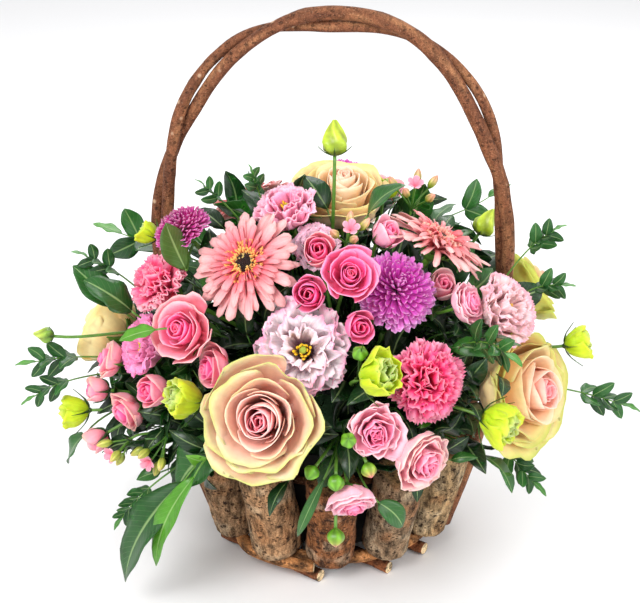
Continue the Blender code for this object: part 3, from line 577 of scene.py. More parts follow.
def math_node(tree, operation, a, b=0.0):
    """One step of arithmetic on sockets or numbers."""
    return add(tree, "Math", a, b, operation=operation).outputs[0]


def times(tree, a, b):
    """The product of two sockets or numbers."""
    return math_node(tree, "MULTIPLY", a, b)


def noise(tree, vector, scale, detail=3.0, rough=0.5):
    """Soft noise from 0 to 1, with this many cells in a metre or in a unit of the UV map."""
    node = add(tree, "TexNoise", vector)
    node.inputs["Scale"].default_value = scale
    node.inputs["Detail"].default_value = detail
    node.inputs["Roughness"].default_value = rough
    return node.outputs["Fac"]


def voronoi(tree, vector, scale):
    """The distance to the nearest of many scattered points, in cells."""
    node = add(tree, "TexVoronoi", vector)
    node.inputs["Scale"].default_value = scale
    return node.outputs["Distance"]


def stretched(tree, place, scale):
    """The coordinates, scaled differently along each axis."""
    return add(tree, "Mapping", place, None, None, scale).outputs[0]


def remap(tree, value, low, high, to_low=0.0, to_high=1.0):
    """The value, from one range to another."""
    return add(tree, "MapRange", value, low, high, to_low, to_high).outputs[0]


def shaded(tree, colour, factor):
    """The colour times a factor that varies over the surface."""
    node = tree.nodes.new("ShaderNodeMix")
    node.data_type = "RGBA"
    node.blend_type = "MULTIPLY"
    node.inputs[0].default_value = 1.0
    tree.links.new(colour, node.inputs[6])
    tree.links.new(factor, node.inputs[7])
    return node.outputs[2]


def mixed(tree, share, a, b):
    """Colour a where the share is 0 and colour b where it is 1."""
    node = tree.nodes.new("ShaderNodeMix")
    node.data_type = "RGBA"
    for socket, value in ((node.inputs[0], share), (node.inputs[6], a), (node.inputs[7], b)):
        if isinstance(value, bpy.types.NodeSocket):
            tree.links.new(value, socket)
        else:
            socket.default_value = (*value, 1)
    return node.outputs[2]


def bumped(tree, shader, height, depth, strength=0.6):
    """Raise the surface by a height from 0 to 1, times the depth in metres."""
    node = tree.nodes.new("ShaderNodeBump")
    node.inputs["Strength"].default_value = strength
    node.inputs["Distance"].default_value = depth
    tree.links.new(height, node.inputs["Height"])
    tree.links.new(node.outputs[0], shader.inputs["Normal"])


def glowing(shader, weight, radius, scale):
    """Light that enters a petal or a leaf and leaves it near by."""
    shader.inputs["Subsurface Weight"].default_value = weight
    shader.inputs["Subsurface Radius"].default_value = radius
    shader.inputs["Subsurface Scale"].default_value = scale


# %% Petals
def petal_material(name, veins=16, depth=0.16, roughness=0.55, glow=0.22, relief=0.0002):
    """Velvet petals: fine lengthwise veins in colour and relief, and light that shines through."""
    material, tree, shader, tint = new_material(name, roughness, 0.35)
    uv = add(tree, "TexCoord").outputs["UV"]
    vein = noise(tree, stretched(tree, uv, (veins, 1.3, 1)), 1.0, 3.0, 0.6)
    place = add(tree, "TexCoord").outputs["Object"]
    cloud = noise(tree, place, 160.0, 2.0)
    factor = times(tree, remap(tree, vein, 0.3, 0.7, 1 - depth, 1 + depth * 0.4),
                   remap(tree, cloud, 0.3, 0.7, 0.94, 1.04))
    tree.links.new(shaded(tree, tint, factor), shader.inputs["Base Color"])
    bumped(tree, shader, vein, relief)
    glowing(shader, glow, (1.0, 0.45, 0.35), 0.003)
    shader.inputs["Sheen Weight"].default_value = 0.15
    shader.inputs["Sheen Roughness"].default_value = 0.4
    return material


ROSE_PETALS = petal_material("rose petals", veins=9, depth=0.07, glow=0.25)
FRILLED_PETALS = petal_material("frilled petals", veins=20, depth=0.2, relief=0.0003)
RAY_PETALS = petal_material("ray petals", veins=5, depth=0.16, relief=0.0004)
GREEN_PETALS = petal_material("green petals", veins=12, depth=0.14, glow=0.25)


# %% Leaves and stems
def leaf_material():
    """Satin leaves: a pale midrib, side veins that run forwards to the edge, and a mottled blade."""
    material, tree, shader, tint = new_material("leaves", 0.36, 0.38)
    uv = add(tree, "SeparateXYZ", add(tree, "TexCoord").outputs["UV"])
    off_rib = math_node(tree, "ABSOLUTE", math_node(tree, "SUBTRACT", uv.outputs[0], 0.5))
    rib = remap(tree, off_rib, 0.015, 0.05, 1.0, 0.0)
    slanted = math_node(tree, "SUBTRACT", times(tree, uv.outputs[1], 9.0), times(tree, off_rib, 5.0))
    wave = math_node(tree, "ABSOLUTE", math_node(tree, "SINE", times(tree, slanted, math.pi)))
    vein = remap(tree, wave, 0.0, 0.16, 1.0, 0.0)
    line = math_node(tree, "MAXIMUM", rib, times(tree, vein, 0.3))
    place = add(tree, "TexCoord").outputs["Object"]
    mottled = shaded(tree, tint, remap(tree, noise(tree, place, 140.0, 3.0), 0.3, 0.7, 0.82, 1.14))
    paler = mixed(tree, times(tree, line, 0.5), mottled, (0.36, 0.52, 0.2))
    tree.links.new(paler, shader.inputs["Base Color"])
    bumped(tree, shader, math_node(tree, "SUBTRACT", 1.0, line), 0.0003, 0.7)
    glowing(shader, 0.08, (0.3, 1.0, 0.2), 0.002)
    shader.inputs["Coat Weight"].default_value = 0.12
    shader.inputs["Coat Roughness"].default_value = 0.25
    return material


def green_material():
    """Smooth green skin with faint streaks, for stems, sepals and buds."""
    material, tree, shader, tint = new_material("stems and buds", 0.38)
    place = add(tree, "TexCoord").outputs["Object"]
    streak = noise(tree, place, 220.0, 3.0)
    tree.links.new(shaded(tree, tint, remap(tree, streak, 0.3, 0.7, 0.82, 1.12)), shader.inputs["Base Color"])
    bumped(tree, shader, streak, 0.0002, 0.4)
    glowing(shader, 0.1, (0.4, 1.0, 0.2), 0.002)
    return material


LEAF_SKIN = leaf_material()
GREEN_SKIN = green_material()

# %% Bark, foam and liner
PIT_BROWN, FLECK_CREAM, SCAR_TAN = (0.028, 0.011, 0.006), (0.62, 0.5, 0.34), (0.6, 0.4, 0.26)
SCARS_PER_METRE = 62.0


def bark_material(name, crack_scale, pit_scale, depth, roughness=0.88, stretch=(1, 1, 0.35), pitted=0.9,
                  darkest=0.2, scarred=0.0):
    """Rough bark: cracks along the wood, fine grain, dark pits wider than high, and a relief of all.

    The colour is tint * cracks * grain. The cracks are darkest where the relief is deepest, partly the
    bark's own colour and partly painted shade. The pits are the places nearest to scattered points, and
    they come in patches; larger ones have an edge that the grain frays. Where scarred is above 0, small
    pale scars stand where twigs and buds broke off.
    """
    material, tree, shader, tint = new_material(name, roughness, 0.2)
    place = add(tree, "TexCoord").outputs["Object"]
    cracks = noise(tree, stretched(tree, place, stretch), crack_scale, 6.0, 0.7)
    fine = noise(tree, place, crack_scale * 4.0, 4.0, 0.65)
    pits = voronoi(tree, stretched(tree, place, (1, 1, 1.7)), pit_scale)
    patchy = remap(tree, noise(tree, place, pit_scale * 0.45, 3.0), 0.46, 0.56, 0.0, 1.0)
    pit = times(tree, remap(tree, pits, 0.16, 0.34, 1.0, 0.0), patchy)
    frayed = voronoi(tree, stretched(tree, place, (1, 1, 1.5)), pit_scale * 0.4)
    ragged = math_node(tree, "ADD", frayed, times(tree, fine, 0.45))
    pit = math_node(tree, "MAXIMUM", pit, remap(tree, ragged, 0.34, 0.46, 1.0, 0.0))
    # Partly painted shade: the cracks darken the wood where the relief is deepest, on top of the bark's own
    # colour.
    factor = times(tree, remap(tree, cracks, 0.38, 0.6, darkest, 1.25), remap(tree, fine, 0.34, 0.66, 0.6, 1.3))
    wood = shaded(tree, tint, factor)
    dotted = mixed(tree, times(tree, pit, pitted), wood, PIT_BROWN)
    flecked = mixed(tree, times(tree, remap(tree, fine, 0.6, 0.7, 0.0, 1.0), 0.35), dotted, FLECK_CREAM)
    scar = remap(tree, voronoi(tree, place, SCARS_PER_METRE), 0.07, 0.15, scarred, 0.0)
    tree.links.new(mixed(tree, scar, flecked, SCAR_TAN), shader.inputs["Base Color"])
    raised = math_node(tree, "ADD", cracks, times(tree, fine, 0.6))
    height = math_node(tree, "ADD", raised, times(tree, pit, -0.7))
    bumped(tree, shader, height, depth, 1.0)
    return material


LOG_BARK = bark_material("log bark", 190.0, 230.0, 0.0026)
VINE_BARK = bark_material("vine bark", 260.0, 300.0, 0.0012, roughness=0.7, stretch=(1, 1, 0.5), pitted=0.55,
                          darkest=0.62, scarred=0.8)
STICK_BARK = bark_material("stick bark", 130.0, 200.0, 0.0014, roughness=0.75, stretch=(0.5, 0.5, 1),
                           pitted=0.7)


def plain_material(name, colour, roughness, grain_scale, depth):
    """For a carried-over node: one colour with a fine grain in it."""
    material = bpy.data.materials.new(name)
    material.use_nodes = True
    tree = material.node_tree
    shader = tree.nodes["Principled BSDF"]
    shader.inputs["Roughness"].default_value = roughness
    place = add(tree, "TexCoord").outputs["Object"]
    grain = noise(tree, place, grain_scale, 4.0)
    tree.links.new(mixed(tree, grain, tuple(colour * 0.6), tuple(colour * 1.3)), shader.inputs["Base Color"])
    bumped(tree, shader, grain, depth, 0.8)
    return material


def dress(node, material):
    """Give a CAD node that stays its finish."""
    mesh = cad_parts[node].data
    mesh.materials.clear()
    mesh.materials.append(material)


dress("floral_foam", plain_material("foam", rgb(52, 84, 52), 0.95, 900.0, 0.0008))
# Painted shadow: the liner is near black, so that the gaps between the logs read as deep shadow.
dress("liner", plain_material("liner", rgb(16, 14, 11), 0.9, 300.0, 0.0002))
print("materials:", len(bpy.data.materials))

# %% [markdown]
# ## The basket
#
# Twelve short logs lean outwards round the liner. Each is a grid of rings, from its foot to its top,
# and noise pushes every point in or out along its radius, so the bark is truly rough where it makes
# the outline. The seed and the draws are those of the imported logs, so each log stays in its place.

# %% Sizes of the basket
STICK_RADIUS, STICK_SIDES = 6 * MM, 8
STICK_TOP = 2 * STICK_RADIUS * math.cos(math.pi / STICK_SIDES)
STICK_OFFSETS = np.array([90, 43, 0, -80]) * MM
STICK_TURN = math.radians(-37)
BASE_REACH = 106 * MM
GAP = 0.3 * MM
HOOP_RADIUS, HOOP_THICK, HOOP_OVERLAP = 96 * MM, 6 * MM, math.radians(34)
HOOP_LEVEL = STICK_TOP + GAP + HOOP_THICK
LOG_COUNT, LOG_RADIUS, LOG_LEAN = 12, 22.3 * MM, math.radians(14)
LOG_FOOT = HOOP_LEVEL + HOOP_THICK + GAP
LOG_RINGS, LOG_SIDES, LOG_FACETS = 40, 50, 10
RIM_TOP = 110 * MM
RIM_HOOP_THICK, RIM_HOOP_DROP = 4 * MM, 22 * MM


def log_radius_at(height):
    """How far from the middle the logs' axes are at a height."""
    return HOOP_RADIUS + (height - LOG_FOOT) * math.tan(LOG_LEAN)


# %% Bark colours, log by log
TAN, GREY, RED_BROWN, PALE = rgb(186, 142, 102), rgb(160, 130, 100), rgb(148, 94, 58), rgb(198, 164, 120)
LOG_COLOURS = [RED_BROWN, GREY, PALE, TAN, GREY, TAN, RED_BROWN, GREY, PALE, TAN, blend(TAN, GREY, 0.5), TAN]
DARK_BARK, ORANGE_BARK, WHITE_FLECK = rgb(72, 46, 28), rgb(170, 106, 58), rgb(222, 204, 172)
CUT_WOOD, CUT_EDGE = rgb(176, 136, 92), rgb(120, 84, 54)
# How wide and how deep the furrows and the lumps are, how far the rest stands out, and the worn places.
RIDGE_SIZE, RIDGE_DEPTH, LUMP_SIZE, LUMP_HEIGHT = 0.011, 0.004, 0.03, 0.0022
BARK_LIFT, WEAR_SIZE = 0.0006, 0.016


def log_skin(number, rng):
    """One log: radius times (1 + bark noise) round a leaning axis; the cut ends stay plain wood."""
    fat = LOG_RADIUS * rng.uniform(0.93, 1.06)
    top = RIM_TOP + rng.uniform(-4, 4) * MM
    facets = rng.uniform(0.97, 1.02, (4, LOG_FACETS))
    bearing = 2 * math.pi * number / LOG_COUNT
    outward = np.array([math.sin(bearing), -math.cos(bearing), 0.0])
    ends = np.array([outward * log_radius_at(z) + UP * z for z in (LOG_FOOT, top)])
    axis = unit(ends[1] - ends[0])
    side = np.array([math.cos(bearing), math.sin(bearing), 0.0])
    third = np.cross(axis, side)
    share = np.concatenate([[0, 0, 0, 0.012], np.linspace(0.04, 0.965, LOG_RINGS), [0.99, 1, 1, 1]])
    shrink = np.concatenate([[0.3, 0.62, 0.9, 0.95], np.ones(LOG_RINGS), [0.97, 0.92, 0.6, 0.3]])
    turn = 2 * math.pi * np.arange(LOG_SIDES) / LOG_SIDES
    circle = side * np.cos(turn)[:, None] + third * np.sin(turn)[:, None]
    middle = ends[0] + (ends[1] - ends[0]) * share[:, None]
    corners = 2 * math.pi * np.arange(LOG_FACETS + 1) / LOG_FACETS
    flutes = np.interp(turn, corners, np.append(facets[1], facets[1, 0]))
    surface = middle[:, None] + circle[None] * (fat * shrink[:, None] * flutes[None])[..., None]
    along = np.stack([surface @ side, surface @ third, (surface @ axis) * 0.4], -1)
    ridges = rough_noise(along, RIDGE_SIZE, number * 7, 4)
    lumps = rough_noise(surface, LUMP_SIZE, number * 7 + 3, 2)
    bark = (shrink > 0.9)[:, None]
    relief = np.where(bark, -np.abs(ridges) * RIDGE_DEPTH + lumps * LUMP_HEIGHT + BARK_LIFT, 0)
    wear = rough_noise(surface, WEAR_SIZE, number * 5 + 1, 3)
    colour = blend(LOG_COLOURS[number], DARK_BARK, smoothstep(0.02, 0.3, np.abs(ridges) * -1 + 0.16))
    colour = blend(colour, ORANGE_BARK, 0.4 * smoothstep(0.08, 0.32, wear))
    colour = blend(colour, WHITE_FLECK, 0.3 * smoothstep(0.12, 0.34, -wear))
    ring = np.broadcast_to(shrink[:, None], wear.shape)
    cut = blend(CUT_WOOD, CUT_EDGE, smoothstep(0.6, 0.95, ring))
    colour = np.where(bark[..., None], colour, cut)
    return rings(surface + circle[None] * relief[..., None], colour)


LOG_SEED = 12
log_draws = np.random.default_rng(LOG_SEED)
for number in range(LOG_COUNT):
    name = f"log_{number + 1:02d}"
    show(f"bark_{name}", log_skin(number, log_draws), LOG_BARK, "log_bark", name)
print("one log:", PIECE_SIZES["bark_log_01"], "triangles")

# %% [markdown]
# ## Sticks and hoops
#
# Under the logs lie crossed sticks and a split-wood hoop that passes its own start. A hoop is a tube
# along a spiral, and noise makes it slightly uneven. Ends that show are cut wood, pale against bark,
# so the colour of the last rings changes and the material reads that from the points.

# %% Sticks under the basket
STICK_BROWN, CUT_CREAM = rgb(140, 84, 52), rgb(236, 208, 164)
CUT_INNER, CUT_OUTER = 0.45, 0.9  # radii of the two rings of a cut end, as shares of the tube's


def rough_tube(path, radius, around, relief, size, seed, colour):
    """A tube whose radius varies with noise of a size, and whose two ends show cut wood."""
    _, circle = circles(path, around)
    surface = path[:, None] + circle * radius
    swell = rough_noise(surface, size, seed) * relief
    surface = surface + circle * swell[..., None]
    shade = rough_noise(surface, size * 0.7, seed + 9)
    skin = blend(colour * np.ones(3), colour * 0.5, smoothstep(0.0, 0.35, shade))
    skin = blend(skin, colour * 1.7, 0.6 * smoothstep(0.05, 0.35, -shade))
    first, last = ([path[[k], None] + (surface[[k]] - path[[k], None]) * share
                    for share in (CUT_INNER, CUT_OUTER)] for k in (0, -1))
    surface = np.concatenate([*first, surface, *last[::-1]])
    pale = np.broadcast_to(CUT_CREAM, (len(first), around, 3))
    return rings(surface, np.concatenate([pale, skin, pale]))


sticks = []
along = np.array([math.cos(STICK_TURN), math.sin(STICK_TURN), 0.0])
across = np.array([along[1], -along[0], 0.0])
for i, offset in enumerate(STICK_OFFSETS):
    half = math.sqrt(BASE_REACH**2 - offset**2)
    line = np.linspace(-half, half, 60)[:, None]
    path = across * offset + UP * (STICK_TOP / 2) + along * line
    sticks.append(rough_tube(path, STICK_RADIUS * 0.93, around=16, relief=0.0012, size=0.012, seed=i,
                             colour=STICK_BROWN))
stick_nodes = sorted(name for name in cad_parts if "stick" in name)
for name, skin in zip(stick_nodes, sticks):
    show(f"bark_{name}", skin, STICK_BARK, "base_wood", name)
print("sticks:", stick_nodes)


# %% The base hoop and the rim hoop
HOOP_START, SLIDE_LENGTH, SLIDE_RATE = math.radians(-8), 1.6, 2.8


def level_ring(angle, reach, height):
    """Points round the basket at one height; the angle is 0 in front and grows to the right."""
    return np.stack([reach * np.sin(angle), -reach * np.cos(angle), height + 0 * angle], -1)


def base_hoop_path(steps=140):
    """A circle that slides out past its own start, so that the two ends lie side by side."""
    turn = (2 * math.pi + HOOP_OVERLAP) * np.arange(steps + 1) / steps
    outward = np.maximum(0, 1 - turn / (SLIDE_LENGTH * HOOP_OVERLAP))
    reach = HOOP_RADIUS + (2 * HOOP_THICK + 4 * GAP) * np.minimum(1, SLIDE_RATE * outward)
    return level_ring(HOOP_START - turn, reach, HOOP_LEVEL)


SPLIT_WOOD, RIM_BROWN = rgb(188, 128, 78), rgb(112, 70, 44)
hoop = rough_tube(base_hoop_path(), HOOP_THICK * 0.94, around=16, relief=0.0011, size=0.014, seed=3,
                  colour=SPLIT_WOOD)
show("split_base_hoop", hoop, STICK_BARK, "base_wood", "base_hoop")

rim_level = RIM_TOP - RIM_HOOP_DROP
rim_reach = log_radius_at(rim_level) - LOG_RADIUS * 1.08 - RIM_HOOP_THICK
rim_path = level_ring(np.linspace(0, 2 * math.pi, 121), rim_reach, rim_level)
hoop = rough_tube(rim_path, RIM_HOOP_THICK * 0.95, around=12, relief=0.0006, size=0.012, seed=5,
                  colour=RIM_BROWN)
show("bark_rim_hoop", hoop, STICK_BARK, "rim_wood", "rim_hoop")
print("hoop thickness:", round(2 * HOOP_THICK / MM, 1), "mm")

# %% [markdown]
# ## The handle
#
# Two woody vines grow round each other, from one foot to the other. Their paths are those of the packed
# vines: a line that rises and arches over, and an angle that turns the pair along it. Knots are places
# where a vine swells, and its bark has long streaks, which noise along the vine's own length draws.

# %% Paths of the two vines
HANDLE_TOP, HANDLE_HALF_WIDTH, HANDLE_WIDEST, HANDLE_FOOT = 478 * MM, 150 * MM, 240 * MM, 12 * MM
HANDLE_SQUARENESS, HANDLE_STATIONS = 2.4, 43
HANDLE_TWIST = np.array([(-480, -270), (-330, -270), (-250, -330), (-190, -270), (-140, -180), (-75, -120),
                         (0, 0), (83, -90), (150, -180), (210, -90), (280, -50), (330, -90), (480, -90)])
TWIST_AVERAGED = (-15, 0, 15)
VINE_RADII = {"a": (6.9 * MM, 4.8 * MM), "b": (4.2 * MM, 5.2 * MM)}
VINE_GAP, FEET_APART, FEET_SPREAD, FEET_POWER = 1.2 * MM, 55 * MM, 1.7, 0.8
FOOT_OUTSIDE, SWING_POWER = 1.08, 1.7


def handle_line(steps=28):
    """The middle of the handle: each side swings out as it rises, then a superellipse goes over."""
    foot = HOOP_RADIUS * FOOT_OUTSIDE
    t = np.arange(steps) / steps
    side_x = HANDLE_HALF_WIDTH - (HANDLE_HALF_WIDTH - foot) * (1 - t)**SWING_POWER
    side_z = HANDLE_FOOT + (HANDLE_WIDEST - HANDLE_FOOT) * t
    angle = math.pi / 2 * np.arange(steps + 1) / steps
    arch_x = HANDLE_HALF_WIDTH * np.cos(angle)**(2 / HANDLE_SQUARENESS)
    arch_z = HANDLE_WIDEST + (HANDLE_TOP - HANDLE_WIDEST) * np.sin(angle)**(2 / HANDLE_SQUARENESS)
    x, z = np.concatenate([side_x, arch_x]), np.concatenate([side_z, arch_z])
    x[-1] = 0
    half = np.stack([x, 0 * x, z], -1)
    return np.vstack([half, (half[:-1] * [-1, 1, 1])[::-1]])


def vine_paths():
    """Both vines: the middle line plus and minus half their distance, turned by the twist."""
    line = handle_line()
    steps = np.linalg.norm(np.diff(line, axis=0), axis=1)
    run = np.concatenate([[0], np.cumsum(steps)])
    share = np.linspace(0, 1, HANDLE_STATIONS)
    s = share * run[-1]
    p = np.stack([np.interp(s, run, line[:, k]) for k in range(3)], -1)
    along = unit(np.stack([np.interp(s + 2 * MM, run, line[:, k]) - np.interp(s - 2 * MM, run, line[:, k])
                           for k in range(3)], -1))
    outward = np.stack([along[:, 2], 0 * s, -along[:, 0]], -1)
    down = (run[-1] / 2 - s) / MM
    turn = np.radians(np.mean([np.interp(down + d, *HANDLE_TWIST.T) for d in TWIST_AVERAGED], axis=0))
    thick = {key: r[0] + (r[1] - r[0]) * share for key, r in VINE_RADII.items()}
    apart = thick["a"] + thick["b"] + VINE_GAP
    spread = np.maximum(0, 1 - (p[:, 2] - HANDLE_FOOT) / (HANDLE_WIDEST - HANDLE_FOOT))**FEET_POWER
    apart = apart + (FEET_APART - apart) * np.minimum(1, FEET_SPREAD * spread)
    offset = outward * np.cos(turn)[:, None] + np.array([0, 1.0, 0]) * np.sin(turn)[:, None]
    offset = offset * (apart / 2)[:, None]
    return {"a": (p + offset, thick["a"]), "b": (p - offset, thick["b"])}


# %% Bark of the vines
VINE_BROWN, VINE_TAN = rgb(128, 80, 54), rgb(172, 120, 82)
VINE_DARK, KNOT_BROWN = rgb(104, 62, 44), rgb(96, 58, 40)
VINE_SIDES, VINE_SEED = 18, 20
KNOTS, KNOT_LENGTH, KNOT_SWELL, BARE_END = 9, 0.006, 0.09, 0.05
STREAK_SIZE, STREAK_DEPTH, STREAK_STRETCH, LUMPS_WIDE, LUMPS_HIGH = 0.004, 0.0011, 0.12, 0.02, 0.0012


def vine_skin(path, radius, seed):
    """A vine: a rough tube with swollen knots, streaked dark and tan along its length."""
    fine = smoothed(path, 5)
    radius = np.interp(np.linspace(0, 1, len(fine)), np.linspace(0, 1, len(path)), radius)
    run = np.concatenate([[0], np.cumsum(np.linalg.norm(np.diff(fine, axis=0), axis=1))])
    rng = np.random.default_rng(seed)
    knots = rng.uniform(BARE_END, run[-1] - BARE_END, KNOTS)
    knot = np.exp(-((run[:, None] - knots) / KNOT_LENGTH)**2).sum(axis=1)
    turn, circle = circles(fine, VINE_SIDES)
    own = np.stack(np.broadcast_arrays(np.cos(turn) * radius[:, None], np.sin(turn) * radius[:, None],
                                       run[:, None] * STREAK_STRETCH), -1)
    streak = rough_noise(own, STREAK_SIZE, seed, 3)
    lumps = rough_noise(own * [1, 1, 3], LUMPS_WIDE, seed + 5, 2)
    grown = radius[:, None] * (0.97 + KNOT_SWELL * knot[:, None]) + streak * STREAK_DEPTH + lumps * LUMPS_HIGH
    colour = blend(VINE_BROWN, VINE_DARK, 0.8 * smoothstep(0.05, 0.4, streak))
    colour = blend(colour, VINE_TAN, 0.6 * smoothstep(0.08, 0.4, -streak))
    colour = blend(colour, KNOT_BROWN, np.clip(knot, 0, 1)[:, None] * 0.4)
    return rings(fine[:, None] + circle * grown[..., None], colour)


for i, (key, (path, radius)) in enumerate(vine_paths().items()):
    skin = vine_skin(path, radius, VINE_SEED + i)
    show(f"bark_vine_{key}", skin, VINE_BARK, "vine_bark", f"handle_vine_{key}")
    low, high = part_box(f"handle_vine_{key}")
    print(f"vine {key}: {round((high - low).x / MM)} mm wide, {round((high - low).z / MM)} mm high")

# %% [markdown]
# ## Petals
#
# Every petal is the same idea: a midrib, which is a cubic Bezier curve in the plane of the flower's
# axis, and a sheet that spreads from it to both sides and wraps round the axis. Only the numbers
# differ: a rose's petals stand and close over each other, a carnation's are narrow at the foot and
# ruffled at the edge, a gerbera's lie flat. The golden angle, 137.5 degrees, sets each petal where the
# last ones leave most room, as a real flower does.

# %% The petal sheet
GOLDEN = math.pi * (3 - math.sqrt(5))
print("golden angle:", round(math.degrees(GOLDEN), 1), "degrees")


def petals(control, half_width, turn, rows, columns, wrap=0.8, rounding=0.25, blunt=2.5, foot=0.35,
           widest=0.6, skew=0.0, lip=0.0, ruffle=0.0, waves=3.0, phase=0.0, fold=0.0, teeth=0.0, twist=0.0,
           crumple=0.0, seed=0):
    """Sheets (n, rows, columns, 3) round an axis z, and how far along and across each point is.

    Across u runs from -1 to 1 and along v from 0 to 1. A column's length is 1 - rounding * |u|^blunt,
    less a random tooth on every other column. The midrib is the Bezier curve of the control points
    (radius, height). The sheet's half-width grows from its foot as a quarter of a sine wave up to the
    widest place. It bends round the axis in an arc of radius (distance from the axis / wrap), and then
    moves along the sheet's normal: skew lifts one edge, lip rolls the end out, ruffles are a sine
    across, and crumple is smooth noise, which makes every petal its own.
    """
    n = len(control)

    def per(value):
        """One value per petal, or one for all, ready to mix with (n, rows, columns)."""
        return np.broadcast_to(np.asarray(value, float).reshape(-1, 1, 1), (n, 1, 1))

    u = np.linspace(-1, 1, rows)[None, :, None]
    v = np.linspace(0, 1, columns)[None, None, :]
    rng = np.random.default_rng(seed)
    notch = (np.arange(rows) % 2)[None, :, None] * rng.uniform(0.3, 1.5, (n, rows, 1))
    own = rng.uniform(0, 90, (n, 1, 1))
    s = v * (1 - per(rounding) * np.abs(u)**per(blunt) - per(teeth) * notch)
    weights = np.stack([(1 - s)**3, 3 * s * (1 - s)**2, 3 * s * s * (1 - s), s**3], -1)
    slopes = np.stack([-(1 - s)**2, (1 - s)**2 - 2 * s * (1 - s), 2 * s * (1 - s) - s * s, s * s], -1)
    rib = np.einsum("nrck,nkd->nrcd", weights, control)
    way = unit(np.einsum("nrck,nkd->nrcd", slopes, control))
    inward = np.stack([-way[..., 1], way[..., 0]], -1)
    width = per(half_width) * (foot + (1 - foot) * np.sin(math.pi / 2 * np.minimum(s / widest, 1)))
    arc = np.maximum(rib[..., 0], width / 1.9) / per(wrap)
    angle = u * width / arc
    sideways = arc * np.sin(angle)
    lift = (arc * (1 - np.cos(angle)) + per(skew) * u * s + per(fold) * np.abs(u) * width
            - per(lip) * smoothstep(0.72, 1.0, s)**1.5
            + per(ruffle) * s**2 * np.sin(per(waves) * math.pi * u + per(phase)))
    spots = np.stack(np.broadcast_arrays(2.2 * u + own, 2.5 * s, own), -1)
    lift = lift + per(crumple) * np.minimum(1.5 * s, 1) * rough_noise(spots, 1.0, seed, 2)
    x = rib[..., 0] + inward[..., 0] * lift
    z = rib[..., 1] + inward[..., 1] * lift
    spin = per(turn) + per(twist) * s
    sheet = np.stack([x * np.cos(spin) - sideways * np.sin(spin),
                      x * np.sin(spin) + sideways * np.cos(spin), z], -1)
    return sheet, s, np.broadcast_to(np.abs(u), s.shape)


def curves(*points):
    """Control points (n, 4, 2) of midribs, from four pairs (radius, height) of numbers or arrays."""
    n = max(np.size(value) for point in points for value in point)
    return np.stack([np.stack([np.broadcast_to(value, n) for value in point], -1) for point in points], 1)


def whorls(count):
    """The number of each petal, and its share of the way from the heart to the outside."""
    i = np.arange(count)
    return i, (i + 0.5) / count


def placed(sheet, head):
    """From the flower's own frame, where its half-width is one, to its place in the basket."""
    _, centre, facing, width, _ = head
    across, upward = cross_axes(facing)
    return centre + (sheet * (width * MM / 2)) @ np.array([across, upward, facing])


def petal_uv(s, seed):
    """A UV map per petal, moved by its own amount, so that no two petals have the same veins."""
    n, rows = s.shape[:2]
    rng = np.random.default_rng(seed)
    across = np.linspace(0, 1, rows)[None, :, None] + rng.uniform(0, 40, (n, 1, 1))
    along = s + rng.uniform(0, 40, (n, 1, 1))
    return np.stack(np.broadcast_arrays(across, along), -1)


def petal_part(found, head, colour, thickness, seed):
    """Petals of one head as a closed skin; the colour is worked out by the flower."""
    sheet, s, _ = found
    return blades(placed(sheet, head), thickness * MM, colour, petal_uv(s, seed))


def lathe(profile, colour_stops, head, around=20, lobes=0, lobe_depth=0.0, swirl=0.0, columns=22):
    """A bud: a smooth profile (height, radius) turned about the axis, with lobes that may spiral.

    The radius is that of the profile times 1 + depth * cos(lobes * turn), and the grooves are painted
    darker, as painted shade.
    """
    heights, radii = np.array(profile, float).T
    t = np.linspace(0, 1, columns)
    keys = np.linspace(0, 1, len(heights))
    height = np.interp(t, keys, heights)
    radius = np.interp(t, keys, radii)
    for _ in range(2):
        radius[1:-1] = (radius[:-2] + 2 * radius[1:-1] + radius[2:]) / 4
    turn = 2 * math.pi * np.arange(around) / around
    ridge = 1 + lobe_depth * np.cos(lobes * (turn[None, :] + swirl * t[:, None]))
    r = radius[:, None] * ridge
    grid = np.stack([r * np.cos(turn), r * np.sin(turn), np.broadcast_to(height[:, None], r.shape)], -1)
    stops = np.array(colour_stops)
    colour = np.stack([np.interp(t, np.linspace(0, 1, len(stops)), stops[:, k]) for k in range(3)], -1)
    # Painted shade: the grooves between the lobes are darkened, by up to a quarter.
    shade = 1 - 0.25 * (1 - ridge / (1 + lobe_depth + 1e-9)) / (lobe_depth + 1e-9) * (lobe_depth > 0)
    return rings(placed(grid, head), colour[:, None] * shade[..., None])


# %% [markdown]
# ## Colours of the flowers
#
# A flower is never one colour. Towards the heart a rose gets warmer, its outer petals are paler, and
# the rims catch a third colour. So each kind has a heart, a middle, an outer and a rim colour, and the
# share of the rim that shows. The maths blends them by the whorl t and by the place on the petal.

